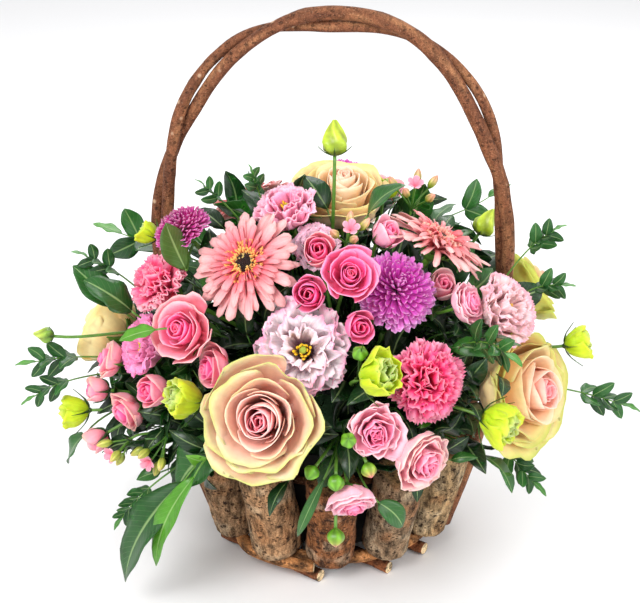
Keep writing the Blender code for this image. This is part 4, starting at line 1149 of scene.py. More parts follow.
# %% Palettes: heart, middle, outer, rim, and how strongly the rim shows
PALETTES = {
    "salmon": (rgb(255, 112, 146), rgb(255, 196, 184), rgb(253, 216, 190), rgb(180, 196, 90), 0.84),
    "peach": (rgb(255, 120, 138), rgb(255, 202, 170), rgb(250, 218, 158), rgb(182, 200, 72), 0.82),
    "cream": (rgb(252, 190, 158), rgb(255, 218, 182), rgb(254, 222, 176), rgb(222, 212, 120), 0.75),
    "butter": (rgb(252, 200, 140), rgb(255, 222, 160), rgb(255, 228, 162), rgb(240, 220, 124), 0.4),
    "lime_pink": (rgb(244, 124, 120), rgb(240, 190, 136), rgb(214, 214, 104), rgb(180, 204, 66), 0.6),
    "two_tone": (rgb(252, 10, 122), rgb(255, 84, 160), rgb(255, 160, 178), rgb(255, 206, 190), 0.49),
    "hot_pink": (rgb(248, 10, 118), rgb(255, 66, 158), rgb(255, 130, 180), rgb(255, 186, 204), 0.39),
    "soft_pink": (rgb(255, 60, 140), rgb(255, 134, 180), rgb(255, 184, 202), rgb(255, 222, 216), 0.42),
    "faded_pink": (rgb(252, 80, 144), rgb(255, 146, 180), rgb(255, 188, 198), rgb(255, 228, 200), 0.49),
    "peach_pink": (rgb(252, 36, 136), rgb(255, 104, 170), rgb(255, 166, 180), rgb(253, 216, 174), 0.49),
    "shell": (rgb(250, 84, 108), rgb(255, 126, 140), rgb(255, 162, 168), rgb(255, 206, 200), 0.6),
    "coral": (rgb(255, 92, 108), rgb(255, 138, 144), rgb(255, 174, 174), rgb(255, 212, 204), 0.5),
    "bubblegum": (rgb(248, 56, 124), rgb(255, 98, 150), rgb(255, 138, 168), rgb(255, 204, 208), 0.8),
    "raspberry": (rgb(250, 36, 112), rgb(255, 72, 140), rgb(255, 120, 168), rgb(255, 188, 200), 0.7),
    "orchid": (rgb(232, 70, 150), rgb(253, 134, 188), rgb(254, 164, 206), rgb(244, 108, 180), 0.6),
    "blush": (rgb(248, 130, 170), rgb(255, 230, 238), rgb(255, 240, 243), rgb(246, 120, 178), 0.75),
    "candy": (rgb(250, 84, 150), rgb(255, 134, 180), rgb(255, 174, 202), rgb(255, 214, 224), 0.6),
    "lilac_white": (rgb(250, 136, 184), rgb(255, 200, 218), rgb(255, 222, 234), rgb(246, 150, 196), 0.6),
    "pearl": (rgb(244, 122, 160), rgb(252, 200, 208), rgb(254, 218, 218), rgb(242, 142, 178), 0.7),
    "lilac": (rgb(216, 60, 188), rgb(236, 98, 212), rgb(246, 136, 224), rgb(255, 204, 246), 0.8),
    "magenta": (rgb(184, 20, 134), rgb(212, 44, 158), rgb(230, 82, 180), rgb(250, 164, 224), 0.75),
    "lime": (rgb(148, 184, 12), rgb(180, 208, 20), rgb(198, 218, 32), rgb(222, 232, 78), 0.6),
    "floret_pink": (rgb(228, 64, 120), rgb(248, 120, 156), rgb(252, 156, 178), rgb(254, 206, 212), 0.6),
}
FRESH, STEM_GREEN, SEPAL, DARK_SEPAL = rgb(120, 170, 50), rgb(70, 116, 44), rgb(84, 128, 46), rgb(52, 84, 34)
print("palettes:", len(PALETTES))


def tint(name, t, s, edge, deep=0.4):
    """The colour of a point of a petal.

    The whorl t goes from 0 at the heart to 1 outside. The foot of a petal is deeper in colour, as if
    multiplied by the heart colour, because there light bounces between petals. The rim is pale on
    inner petals and takes the rim colour on outer ones.
    """
    heart, middle, outer, rim, share = PALETTES[name]
    t, s, edge = np.broadcast_arrays(t, s, edge)
    core = blend(blend(heart, middle, smoothstep(0.08, 0.5, t)), outer, smoothstep(0.4, 0.85, t))
    foot = core * blend(np.ones(3), heart / heart.max(), deep)
    lit = blend(foot, core, smoothstep(0.1, 0.75, s))
    pale = blend(core, rgb(255, 244, 236), 0.4)
    return blend(lit, blend(pale, rim, smoothstep(0.45, 0.8, t)), share * edge)


def edge_mask(s, across, start=0.84):
    """0 on the blade and 1 on the rim: the further of the way along and the way across."""
    return smoothstep(start, 1.0, np.maximum(s, 0.55 * across**2 + 0.47 * s))


# %% [markdown]
# ## Roses
#
# A garden rose opens from a tight spiral at its heart. Its petals could be bent one by one by hand. Here
# a function sets them all on the golden angle, because the steady change from the heart to the outside
# is what makes a rose. The small roses of a spray and the half-open ones have fewer petals.

# %% Roses and their sepals
RUFFLED = ("soft_pink", "faded_pink")


def rose(head, seed, count=29, rows=13, columns=10):
    """A garden rose: petals on the golden angle, tight at the heart, cupped, then rolled outwards.

    The distance from the axis grows slowly for the first petals and then evenly. Inner petals reach
    more than half round the axis, outer ones less. The heart is squeezed to an oval.
    """
    rng = np.random.default_rng(seed)
    frill = float(head[4] in RUFFLED)
    count += int(8 * frill)
    i, t = whorls(count)
    out = smoothstep(0.5, 0.9, t)
    wall = 0.06 + 0.9 * t**1.25
    top = (0.42 + 0.08 * np.sin(math.pi * np.minimum(2 * t, 1)) - 0.34 * smoothstep(0.4, 1.0, t)
           + rng.uniform(-0.05, 0.05, count))
    control = curves((0.04 + 0.14 * t, -0.82), (wall * (0.85 + 0.25 * out), -0.62), (wall * 1.1, top - 0.3),
                     (wall * (0.72 + 0.42 * smoothstep(0.1, 0.8, t)) * rng.uniform(0.94, 1.04, count), top))
    found = petals(control, wall * (2.0 - 1.0 * t**0.6) + 0.03, i * GOLDEN + rng.uniform(-0.3, 0.3, count),
                   rows, columns, wrap=1 - 0.25 * out, rounding=0.2 - 0.06 * out, blunt=2.4 + 0.8 * out,
                   foot=0.45, widest=0.7, skew=(0.05 + 0.06 * t) * rng.uniform(0.3, 1.4, count),
                   lip=0.01 + 0.15 * smoothstep(0.3, 0.8, t) * rng.uniform(0.2, 1.3, count),
                   ruffle=0.01 + 0.03 * frill + 0.04 * out * rng.uniform(0.5, 1.4, count),
                   waves=rng.uniform(1.2, 2.8, count) + frill, phase=rng.uniform(0, 6.3, count),
                   crumple=0.06 + 0.12 * out + 0.2 * frill, seed=seed)
    sheet, s, across = found
    sheet[..., 0] *= 1 - 0.2 * (1 - t)[:, None, None]**1.5
    colour = tint(head[4], t[:, None, None], s, edge_mask(s, across, 0.8), 0.3)
    return [petal_part((sheet, s, across), head, colour, 0.5, seed)]


def spray_rose(head, seed):
    """The small rose of a spray, with fewer petals."""
    return rose(head, seed, 20, 9, 9)


def rosebud(head, seed, count=12):
    """A half-open rose: petals that wrap up to a point, the outer ones just turning back."""
    rng = np.random.default_rng(seed)
    i, t = whorls(count)
    wall = 0.16 + 0.76 * t
    top = 0.66 - 0.1 * t + rng.uniform(-0.06, 0.04, count)
    control = curves((0.1, -0.9), (wall * 1.1, -0.75), (wall * 1.16, 0.1), (wall * (0.55 + 0.38 * t), top))
    found = petals(control, wall * (1.8 - 0.8 * t), i * GOLDEN, 9, 9, wrap=1.0, rounding=0.24, blunt=2.2,
                   foot=0.5, skew=0.08, lip=0.02 + 0.16 * t * rng.uniform(0.2, 1.3, count), ruffle=0.02,
                   waves=2.0, phase=rng.uniform(0, 6.3, count), crumple=0.1, seed=seed)
    _, s, across = found
    colour = tint(head[4], 0.1 + 0.8 * t[:, None, None], s, edge_mask(s, across, 0.8), 0.3)
    return [petal_part(found, head, colour, 0.5, seed)]


def calyx(head, reach=1.0, width=0.16, count=5, drop=0.85, colour=SEPAL, curl=0.0, climb=0.0):
    """Sepals that hold the flower from behind, narrow and pointed, with a swollen base under them."""
    i = np.arange(count)
    control = curves((0.08, -drop), (0.45 + 0.3 * climb, -drop * 1.08),
                     (0.75 * reach + 0.25 * climb, -drop * 0.75),
                     (reach * (0.95 + curl) + 0 * i, -drop * 0.35 + curl * 0.5 + climb))
    found = petals(control, width, 2 * math.pi * i / count + 0.3, 5, 8, wrap=0.8, rounding=0.85, blunt=1.1,
                   foot=0.8, widest=0.3)
    shade = colour * (0.8 + 0.4 * found[1][..., None])
    hip = lathe([(-drop - 0.16, 0.08), (-drop - 0.08, 0.15), (-drop + 0.04, 0.2), (-drop + 0.1, 0.12)],
                [colour * 0.8, colour, colour], head, 10, columns=8)
    return [petal_part(found, head, shade, 0.6, 1), hip]


# %% [markdown]
# ## Gerberas
#
# A gerbera has layers of narrow flat rays, a fringe of short florets and a dark disc. One ray repeated
# round the axis would look stamped out, so each ray draws its own length, dip and twist.

# %% Gerberas
# Per palette: how wide the rays are, and the foot and tip colours of the fringe round the disc.
RAYS = {"shell": (1.0, rgb(240, 104, 60), rgb(254, 196, 110)),
        "coral": (0.74, rgb(240, 96, 96), rgb(254, 190, 172))}
DISC_BLACK, DISC_BROWN, DISC_CREAM = rgb(20, 10, 10), rgb(44, 22, 20), rgb(250, 216, 130)


def gerbera(head, seed, fringe=160, florets=130):
    """A ray flower: three layers of rays, a ring of short ones, an orange fringe and a dark disc."""
    rng = np.random.default_rng(seed)
    parts = []
    broad, fringe_foot, fringe_tip = RAYS[head[4]]
    # Of each layer: how many rays, how long, how high, half how wide, and the whorl for the colour.
    layers = ((23, 1.0, -0.06, 0.084, 0.95), (21, 0.88, 0.05, 0.075, 0.75), (26, 0.66, 0.12, 0.05, 0.45),
              (48, 0.44, 0.16, 0.022, 0.1))
    for layer, (count, reach, lift, half, whorl) in enumerate(layers):
        i = np.arange(count)
        long = reach * rng.uniform(0.86, 1.03, count)
        dip = rng.uniform(-0.09, 0.08, count)
        control = curves((0.16, -0.14), (0.3 * long, lift * 0.6 + 0.04), (0.7 * long, lift + 0.07 + dip * 0.6),
                         (long, lift - 0.02 + dip * 1.6))
        turn = 2 * math.pi * (i + 0.5 * layer) / count + rng.uniform(-0.08, 0.08, count)
        found = petals(control, half * broad * rng.uniform(0.85, 1.15, count), turn, 5, 9, wrap=0.05,
                       rounding=0.1, blunt=2.4, foot=0.4, widest=0.8, ruffle=0.012, waves=1.9, fold=0.12,
                       phase=rng.uniform(0, 6.3, count), teeth=0.01, twist=rng.uniform(-0.09, 0.09, count),
                       skew=rng.uniform(-0.05, 0.05, count), crumple=0.05, seed=seed + layer)
        _, s, across = found
        t = whorl + rng.uniform(-0.1, 0.1, (count, 1, 1))
        colour = tint(head[4], np.clip(t, 0, 1), s, smoothstep(0.55, 1.0, s), 0.7)
        colour = colour * (0.92 + 0.1 * np.cos(across * math.pi * 3))[..., None]
        parts.append(petal_part(found, head, colour, 0.5, seed + layer))
    ring = 0.14 + 0.2 * rng.uniform(0, 1, fringe)
    high = 0.2 - 0.25 * (ring - 0.14) + rng.uniform(-0.02, 0.03, fringe)
    control = curves((ring * 0.85, 0.0), (ring, 0.1), (ring * 1.05, high - 0.02), (ring * 1.2, high))
    found = petals(control, 0.016, np.arange(fringe) * GOLDEN, 3, 4, wrap=0.5, rounding=0.2, ruffle=0.01,
                   skew=rng.uniform(-0.05, 0.05, fringe))
    parts.append(petal_part(found, head, blend(fringe_foot, fringe_tip, found[1]), 0.55, seed + 7))
    i, t = whorls(florets)
    r = 0.16 * np.sqrt(t)
    base = 0.06 - 0.3 * r**2
    control = curves((r, base), (r, base + 0.03), (r * 1.02, base + 0.05), (r * 1.04, base + 0.09))
    found = petals(control, 0.012, i * GOLDEN, 3, 3, wrap=0.5, rounding=0.1)
    cream = (rng.uniform(0, 1, (florets, 1, 1)) < 0.28) & (r[:, None, None] > 0.08)
    tip = np.where(cream[..., None], DISC_CREAM, DISC_BROWN)
    parts.append(petal_part(found, head, blend(DISC_BLACK, tip, found[1]), 0.7, seed + 8))
    parts.append(lathe([(-0.16, 0.1), (-0.06, 0.2), (0.02, 0.19), (0.06, 0.1), (0.07, 0.02)],
                       [rgb(24, 12, 12), rgb(28, 14, 14)], head, 24, columns=10))
    return parts


# %% [markdown]
# ## Carnations and chrysanthemums
#
# Both are balls of many petals that lean further from the axis, whorl by whorl. A carnation's are wide,
# ruffled and toothed, and a chrysanthemum's are short cups that overlap like scales, so the first
# takes few petals with many points and the second many petals with few points.

# %% Carnations
def carnation(head, seed, count=58):
    """A ball of narrow-footed petals with ruffled, toothed edges, from upright to flat outside."""
    rng = np.random.default_rng(seed)
    i, t = whorls(count)
    lean = np.radians(6 + 96 * t**0.75 + rng.uniform(-9, 9, count))
    reach = rng.uniform(0.84, 1.1, count)
    end = (np.maximum(np.sin(lean) * reach, 0.06), -0.14 + 0.68 * np.cos(lean) * reach)
    control = curves((0.05, -0.88), (0.1 + 0.15 * t, -0.45), (end[0] * 0.6, end[1] - 0.1 - 0.12 * (1 - t)), end)
    found = petals(control, rng.uniform(0.24, 0.4, count), i * GOLDEN + rng.uniform(-0.4, 0.4, count), 17, 7,
                   wrap=rng.uniform(0.1, 0.6, count), rounding=0.1, blunt=2.2, foot=0.15, widest=0.9,
                   ruffle=0.09 * rng.uniform(0.6, 1.3, count), waves=rng.uniform(1.6, 3.2, count),
                   phase=rng.uniform(0, 6.3, count), teeth=0.05, skew=rng.uniform(-0.1, 0.1, count),
                   twist=rng.uniform(-0.15, 0.15, count), crumple=0.3, seed=seed)
    s = found[1]
    colour = tint(head[4], 0.25 + 0.65 * t[:, None, None], s, smoothstep(0.86, 1.0, s), 0.55)
    return [petal_part(found, head, colour, 0.45, seed)]


# %% Chrysanthemums
def dome(radius, angle):
    """A point of a low dome: its distance from the axis and its height, at an angle from the top."""
    angle = np.maximum(angle, 0.02)
    return radius * np.sin(angle), 0.72 * radius * np.cos(angle) - 0.05


def chrysanthemum(head, seed, count=270):
    """A dome of short cupped petals that lean outwards over each other like scales."""
    rng = np.random.default_rng(seed)
    i, t = whorls(count)
    lean = np.radians(3 + 104 * t**0.62) + rng.uniform(-0.05, 0.05, count)
    swell = rng.uniform(0.93, 1.07, count)
    control = curves(dome(0.3, lean - 0.25), dome(0.8, lean - 0.1), dome(0.99 * swell, lean),
                     dome(1.03 * swell, lean - 0.13))
    found = petals(control, (0.042 + 0.04 * t) * rng.uniform(0.85, 1.15, count), i * GOLDEN, 3, 8, wrap=0.3,
                   rounding=0.22, blunt=2.2, foot=0.5, widest=0.75, fold=0.45,
                   skew=rng.uniform(-0.06, 0.06, count), twist=rng.uniform(-0.08, 0.08, count))
    _, s, across = found
    colour = tint(head[4], np.clip(0.1 + 0.9 * t[:, None, None], 0, 1), s, smoothstep(0.6, 1.0, s), 0.4)
    # Painted shade: each cupped petal is darker down its middle, in the fold, and lighter at its raised edges.
    colour = colour * (0.86 + 0.18 * across)[..., None]
    return [petal_part(found, head, colour, 0.4, seed)]


# %% [markdown]
# ## Lisianthus
#
# An open lisianthus is a wide cup of thin fringed petals, and one that still opens is green and closed
# over the middle. The ruffles come from a sine across each petal, and noise keeps them uneven.

# %% Lisianthus, open and still green
THROAT_GREEN, POLLEN_YELLOW = rgb(60, 70, 20), rgb(250, 200, 30)
PISTIL_GREENS = [rgb(40, 40, 20), rgb(50, 56, 20), rgb(150, 170, 50)]


def lisianthus(head, seed, stamens=16):
    """A wide ruffled cup: four layers of fringed petals, a dark throat, stamens and a green pistil."""
    rng = np.random.default_rng(seed)
    parts = []
    # Of each layer: how many petals, how wide it reaches, how high, half a petal's width, and the whorl.
    layers = ((7, 1.05, 0.1, 0.56, 1.0), (7, 0.92, 0.24, 0.5, 0.9), (6, 0.68, 0.36, 0.42, 0.75),
              (5, 0.42, 0.42, 0.3, 0.6))
    for layer, (count, reach, top, half, whorl) in enumerate(layers):
        i = np.arange(count)
        long = reach * rng.uniform(0.88, 1.05, count)
        control = curves((0.05, -0.8), (0.36 * long + 0.1, -0.74), (0.72 * long, top - 0.26),
                         (long, top + rng.uniform(-0.1, 0.08, count)))
        turn = 2 * math.pi * (i + 0.5 * layer) / count + rng.uniform(-0.2, 0.2, count)
        found = petals(control, half * rng.uniform(0.85, 1.1, count), turn, 21, 9, wrap=0.6, rounding=0.08,
                       blunt=3.0, foot=0.2, widest=0.85, ruffle=0.045 * rng.uniform(0.5, 1.4, count),
                       waves=rng.uniform(1.6, 3.4, count), phase=rng.uniform(0, 6.3, count),
                       lip=rng.uniform(-0.1, 0.15, count), skew=rng.uniform(-0.1, 0.1, count), teeth=0.035,
                       crumple=0.35, seed=seed + layer)
        s = found[1]
        colour = tint(head[4], whorl, s, smoothstep(0.88, 1.0, s), 0.55)
        colour = blend(colour, PALETTES[head[4]][0], 0.5 * smoothstep(0.5, 0.15, s))
        parts.append(petal_part(found, head, colour, 0.4, seed + layer))
    away = rng.uniform(0.06, 0.16, stamens)
    control = curves((away * 0.5, -0.5), (away * 0.8, -0.25), (away, -0.05),
                     (away * 1.4, rng.uniform(0.06, 0.16, stamens)))
    found = petals(control, 0.035, np.arange(stamens) * GOLDEN, 3, 6, wrap=0.5, rounding=0.1, foot=0.3,
                   widest=0.9)
    colour = blend(THROAT_GREEN, POLLEN_YELLOW, smoothstep(0.45, 0.75, found[1]))
    parts.append(petal_part(found, head, colour, 0.9, seed + 5))
    parts.append(lathe([(-0.7, 0.14), (-0.4, 0.2), (-0.2, 0.12), (0.0, 0.06), (0.06, 0.1), (0.1, 0.05)],
                       PISTIL_GREENS, head, 12, columns=14))
    return parts


def green_cup(head, seed, count=14):
    """A lisianthus that still opens: green-yellow petals that overlap and close over the middle."""
    rng = np.random.default_rng(seed)
    i, t = whorls(count)
    wall = 0.3 + 0.68 * t**0.8
    control = curves((0.08, -1.06), (wall * 0.85, -0.95), (wall * 1.04, 0.0),
                     (wall * (0.35 + 0.58 * t), 0.4 - 0.06 * t + rng.uniform(-0.08, 0.08, count)))
    found = petals(control, wall * (1.25 - 0.45 * t), i * GOLDEN + rng.uniform(-0.2, 0.2, count), 11, 9,
                   wrap=0.95, rounding=0.22, blunt=1.9, foot=0.35, ruffle=0.1 * rng.uniform(0.6, 1.3, count),
                   waves=rng.uniform(1.6, 3.2, count), phase=rng.uniform(0, 6.3, count), skew=0.08,
                   lip=rng.uniform(-0.02, 0.24, count) * t, teeth=0.03, crumple=0.36, seed=seed)
    _, s, across = found
    colour = tint(head[4], t[:, None, None], s, edge_mask(s, across, 0.8), 0.5)
    return [petal_part(found, head, colour, 0.5, seed)]


def floret(head, seed):
    """Five small rounded petals, open flat."""
    i = np.arange(5)
    control = curves((0.05, -1.1), (0.25, -0.4), (0.6, -0.1), (1.0 + 0 * i, 0.04))
    found = petals(control, 0.4, i * 2 * math.pi / 5, 7, 8, wrap=0.4, rounding=0.2, foot=0.2, widest=0.8,
                   ruffle=0.05, waves=2.0, skew=0.05)
    _, s, across = found
    return [petal_part(found, head, tint(head[4], 0.8, s, edge_mask(s, across), 0.3), 0.4, seed)]


# %% [markdown]
# ## Buds
#
# A bud shows no single petals, only the grooves between them. So it is turned like wood on a lathe,
# with lobes that may wind round it, and needs far fewer faces than petals that nobody would see.

# %% Buds
BUD_COLOURS = {
    "bud_green": [rgb(70, 130, 26), rgb(104, 170, 34), rgb(120, 184, 44), rgb(96, 150, 40)],
    "bud_split": [rgb(86, 144, 30), rgb(116, 174, 40), rgb(170, 190, 70), rgb(240, 130, 130)],
    "slim_bud": [rgb(70, 110, 40), rgb(120, 160, 50), rgb(186, 208, 80), rgb(196, 214, 96)],
    "lime_bud": [rgb(64, 96, 36), rgb(170, 198, 44), rgb(204, 226, 66), rgb(190, 214, 60)],
    "yellow_green_bud": [rgb(110, 150, 50), rgb(186, 200, 80), rgb(214, 214, 96), rgb(232, 206, 120)],
    "peach_bud": [rgb(110, 150, 40), rgb(176, 196, 70), rgb(240, 196, 140), rgb(250, 170, 156)],
}

# A long bud whose petals are rolled in a spiral, so that its ridges wind up to the point, a tight bud
# in five sepals with a small point, and one bud of a cluster. Of each: the profile, how many points
# round it, how many lobes, how deep, how far they wind, and how many points along it.
BUD_FORMS = {
    "closed_bud": ([(-1, 0.3), (-0.6, 0.85), (0.0, 1.0), (0.55, 0.74), (1.1, 0.48), (1.65, 0.16)],
                   28, 4, 0.13, 2.2, 30),
    "round_bud": ([(-1, 0.25), (-0.5, 0.85), (0.0, 1.0), (0.4, 0.85), (0.8, 0.42), (1.05, 0.1)],
                  20, 5, 0.06, 0.3, 18),
    "tiny_bud": ([(-1.3, 0.25), (-0.7, 0.7), (0.1, 0.92), (1.0, 0.78), (1.7, 0.5), (2.2, 0.12)],
                 14, 5, 0.08, 0.6, 14),
}


def bud(head):
    """A bud of its own form and colours."""
    profile, *shape = BUD_FORMS[head[0]]
    return lathe(profile, BUD_COLOURS[head[4]], head, *shape)


# %% [markdown]
# ## Putting the flowers on their stems
#
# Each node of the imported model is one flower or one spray, with its stem. It becomes a piece for the
# petals and a piece for what is green: stems, sepals and buds. Both ride on the basket and replace it.

# %% Build every flower
# Of each kind of bloom: the function that makes it, the finish of its petals and their slot.
BLOOMS = {
    "rose": (rose, ROSE_PETALS, "rose_petals"),
    "spray_rose": (spray_rose, ROSE_PETALS, "spray_rose_petals"),
    "rosebud": (rosebud, ROSE_PETALS, "spray_rose_petals"),
    "gerbera": (gerbera, RAY_PETALS, "gerbera_petals"),
    "carnation": (carnation, FRILLED_PETALS, "carnation_petals"),
    "chrysanthemum": (chrysanthemum, RAY_PETALS, "chrysanthemum_petals"),
    "lisianthus": (lisianthus, FRILLED_PETALS, "lisianthus_petals"),
    "green_cup": (green_cup, GREEN_PETALS, "green_bloom"),
    "floret": (floret, GREEN_PETALS, "small_buds"),
}
# The sepals behind each kind: how far they reach, half how wide they are, how many, how far behind the
# middle they start, their colour, how far they curl back and how far they climb.
CALYXES = {
    "rose": (0.9, 0.15), "spray_rose": (0.9, 0.15), "rosebud": (1.02, 0.13, 5, 0.88, DARK_SEPAL, 0.0, 0.45),
    "carnation": (0.45, 0.2, 5, 0.86), "gerbera": (0.4, 0.08, 16, 0.2), "lisianthus": (0.7, 0.07, 5, 0.78),
    "chrysanthemum": (0.6, 0.12, 10, 0.42), "green_cup": (1.15, 0.07, 5, 1.04, DARK_SEPAL, 0.22),
    "closed_bud": (1.2, 0.14, 5, 0.95, DARK_SEPAL, 0.15),
}
PLANT_SEEDS, HEAD_SEEDS = 97, 11

for number, (name, plant) in enumerate(PLANTS.items()):
    blooms = [head for head in plant["heads"] if head[0] in BLOOMS]
    if blooms:
        parts = [part for k, head in enumerate(blooms)
                 for part in BLOOMS[head[0]][0](head, PLANT_SEEDS * number + HEAD_SEEDS * k)]
        _, material, slot = BLOOMS[blooms[0][0]]
        show(f"petals_{name}", joined(parts), material, slot, name)
    greens = [bud(head) for head in plant["heads"] if head[0] in BUD_FORMS]
    greens += [part for head in plant["heads"] if head[0] in CALYXES
               for part in calyx(head, *CALYXES[head[0]])]
    for path, start, end in plant["stems"]:
        fine = smoothed(path, 2)
        radius = np.linspace(start, end, len(fine)) * MM
        shade = blend(STEM_GREEN, FRESH, 0.35 * np.linspace(0, 1, len(fine)))[:, None]
        greens.append(tube(fine, radius, shade))
    show(f"greens_{name}", joined(greens), GREEN_SKIN, "leaves", name)
print("flowers:", sum(PIECE_SIZES.values()), "triangles so far")

# %% [markdown]
# ## Leaves
#
# A leaf is one sheet: its half-width follows a sine curve from the base to the tip, it folds a little
# along the midrib, arches over its length, and its edge waves. Leaves on sprigs and large leaves stand
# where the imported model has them. Between the flowers the florist pushes in many more stems of leaves,
# until no foam shows: those are drawn here from the same few numbers.

# %% The leaf sheet
# Per kind: where it is widest, how blunt it is, how far it arches, how deep it folds, its colours.
LEAF_KINDS = {
    "round": (0.86, 0.62, -0.10, 0.22, rgb(26, 74, 26), rgb(44, 100, 34)),
    "long": (0.80, 0.90, -0.12, 0.25, rgb(22, 70, 22), rgb(44, 100, 30)),
    "fresh": (0.85, 0.75, -0.10, 0.22, rgb(64, 126, 24), rgb(98, 160, 36)),
    "olive": (0.80, 0.95, -0.08, 0.25, rgb(52, 88, 30), rgb(86, 118, 44)),
    "small": (0.85, 0.66, -0.06, 0.16, rgb(16, 56, 24), rgb(48, 104, 44)),
    "tip": (0.80, 0.80, -0.06, 0.16, rgb(44, 104, 36), rgb(88, 152, 58)),
    # The dark kind is near black: painted shade of the deep inside of the arrangement, on the leaves that fill
    # it.
    "dark": (0.82, 0.78, -0.13, 0.24, rgb(8, 32, 12), rgb(20, 60, 22)),
}


def leaf_sheets(base, tip, face, width, kinds, rows=5, columns=9, seed=0):
    """Leaves as closed skins, all at once.

    Along v from 0 to 1 the half-width is width / 2 * sin(pi * v^widest)^blunt. A point lies that far
    to the side, times u from -1 to 1. It is raised by the fold, |u| times the half-width, by the arch,
    4 v (1 - v) times the length, and by a small wave on the edge.
    """
    n = len(base)
    rng = np.random.default_rng(seed)
    widest, blunt, arch, fold = (np.array([LEAF_KINDS[k][j] for k in kinds])[:, None, None] for j in range(4))
    dark, light = (np.array([LEAF_KINDS[k][j] for k in kinds])[:, None, None] for j in (4, 5))
    along = tip - base
    length = np.linalg.norm(along, axis=1)[:, None, None]
    along = unit(along)
    normal = unit(face - along * np.sum(face * along, axis=1, keepdims=True))
    side = np.cross(along, normal)
    u = np.linspace(-1, 1, rows)[None, :, None]
    v = np.linspace(0, 1, columns)[None, None, :]
    half = width[:, None, None] / 2 * np.maximum(np.sin(math.pi * v**widest), 0.0)**blunt + 0.3 * MM
    phase, waves = rng.uniform(0, 6.3, (n, 1, 1)), rng.uniform(1.2, 2.4, (n, 1, 1))
    edge = np.abs(u)**2 * np.sin(waves * 2 * math.pi * v + phase + 1.2 * np.sign(u)) * half * 0.14
    lift = np.abs(u) * half * fold + 4 * v * (1 - v) * length * -arch + edge
    droop = rng.uniform(-0.03, 0.1, (n, 1, 1)) * length * v**2
    sway = rng.uniform(-0.06, 0.06, (n, 1, 1)) * length * np.sin(math.pi * v)
    grid = (base[:, None, None] + along[:, None, None] * (length * v)[..., None]
            + side[:, None, None] * (half * u + sway)[..., None]
            + normal[:, None, None] * (lift - droop)[..., None])
    share = rng.uniform(0, 1, (n, 1, 1)) * 0.8 + 0.2 * v
    # Painted shade: leaves near the heart of the arrangement are darkened, down to about a third, because
    # little light gets in there.
    outside = smoothstep(0.09, 0.2, np.linalg.norm(grid - HEART, axis=-1))
    colour = blend(dark, light, np.broadcast_to(share, (n, rows, columns))) * (0.35 + 0.65 * outside)[..., None]
    uv = np.stack(np.broadcast_arrays(u / 2 + 0.5, v * (length / 0.05)), -1)
    return blades(grid, 0.4 * MM, colour, uv)


def leaves_part(leaves, rows, columns, seed):
    """The leaves of one node, from its rows of (base, tip, face, width, kind)."""
    base, tip, face = (np.array([leaf[k] for leaf in leaves]) for k in range(3))
    width = np.array([leaf[3] for leaf in leaves]) * MM
    return leaf_sheets(base, tip, face, width, [leaf[4] for leaf in leaves], rows, columns, seed)


for number, (name, plant) in enumerate(PLANTS.items()):
    if plant["leaves"]:
        show(f"leaves_{name}", leaves_part(plant["leaves"], 7, 13, number), LEAF_SKIN, "leaves", name)
print("leaves on stems:", sum(len(p["leaves"]) for p in PLANTS.values()))

# %% [markdown]
# ## The leaves between the flowers
#
# Thousands of leaves are drawn at random, and only those stay that keep clear of every bloom, of the
# logs and of the handle: each candidate is tested at five points along its length against ellipsoids
# round the blooms. That is far quicker than placing each by hand, and it fills every gap.

# %% Draw, test, keep
DRAWN, KEPT = 26000, 860
# Bearing and rise of places with wide gaps, the spread of the draws there, and how close leaves may be.
THIN_PLACES = np.array([(-62, 5), (-52, 12), (-44, 4), (44, 22), (28, 12), (-64, 22), (52, 30), (56, 44),
                        (-70, 8), (-71, 14), (-68, 2), (-66, 12)])
SPREAD, USUAL_SPACING, CLOSE_SPACING = 7, 15 * MM, 8 * MM
THIN_SHARE, THIN_LENGTH = 0.35, 0.66  # of all draws, and how long these leaves are beside the others
# How far leaves keep from blooms, vines and the rim, and how far out their tips may be.
BLOOM_MARGIN, VINE_MARGIN, RIM_MARGIN, FURTHEST_TIP = 2 * MM, 13 * MM, 14 * MM, 222 * MM
# How low a leaf may reach, in mm: lower on the left, past this place, where sprays hang beside the logs.
HANGING_SIDE, LOWEST, LOWEST_HANGING = -70 * MM, 110, 62
HEADS = [head for plant in PLANTS.values() for head in plant["heads"]]
FLATNESS = {"gerbera": 0.3, "chrysanthemum": 0.75, "lisianthus": 0.8}


def clear_of_blooms(points, margin):
    """Whether each point (n, m, 3) lies outside every bloom's ellipsoid."""
    free = np.ones(points.shape[:2], bool)
    for form, centre, facing, width, _ in HEADS:
        offset = points - centre
        forward = offset @ facing
        sideways = np.linalg.norm(offset - forward[..., None] * facing, axis=-1)
        radius = width / 2 * MM + margin
        free &= (forward / (radius * FLATNESS.get(form, 0.9)))**2 + (sideways / radius)**2 > 1
    return free


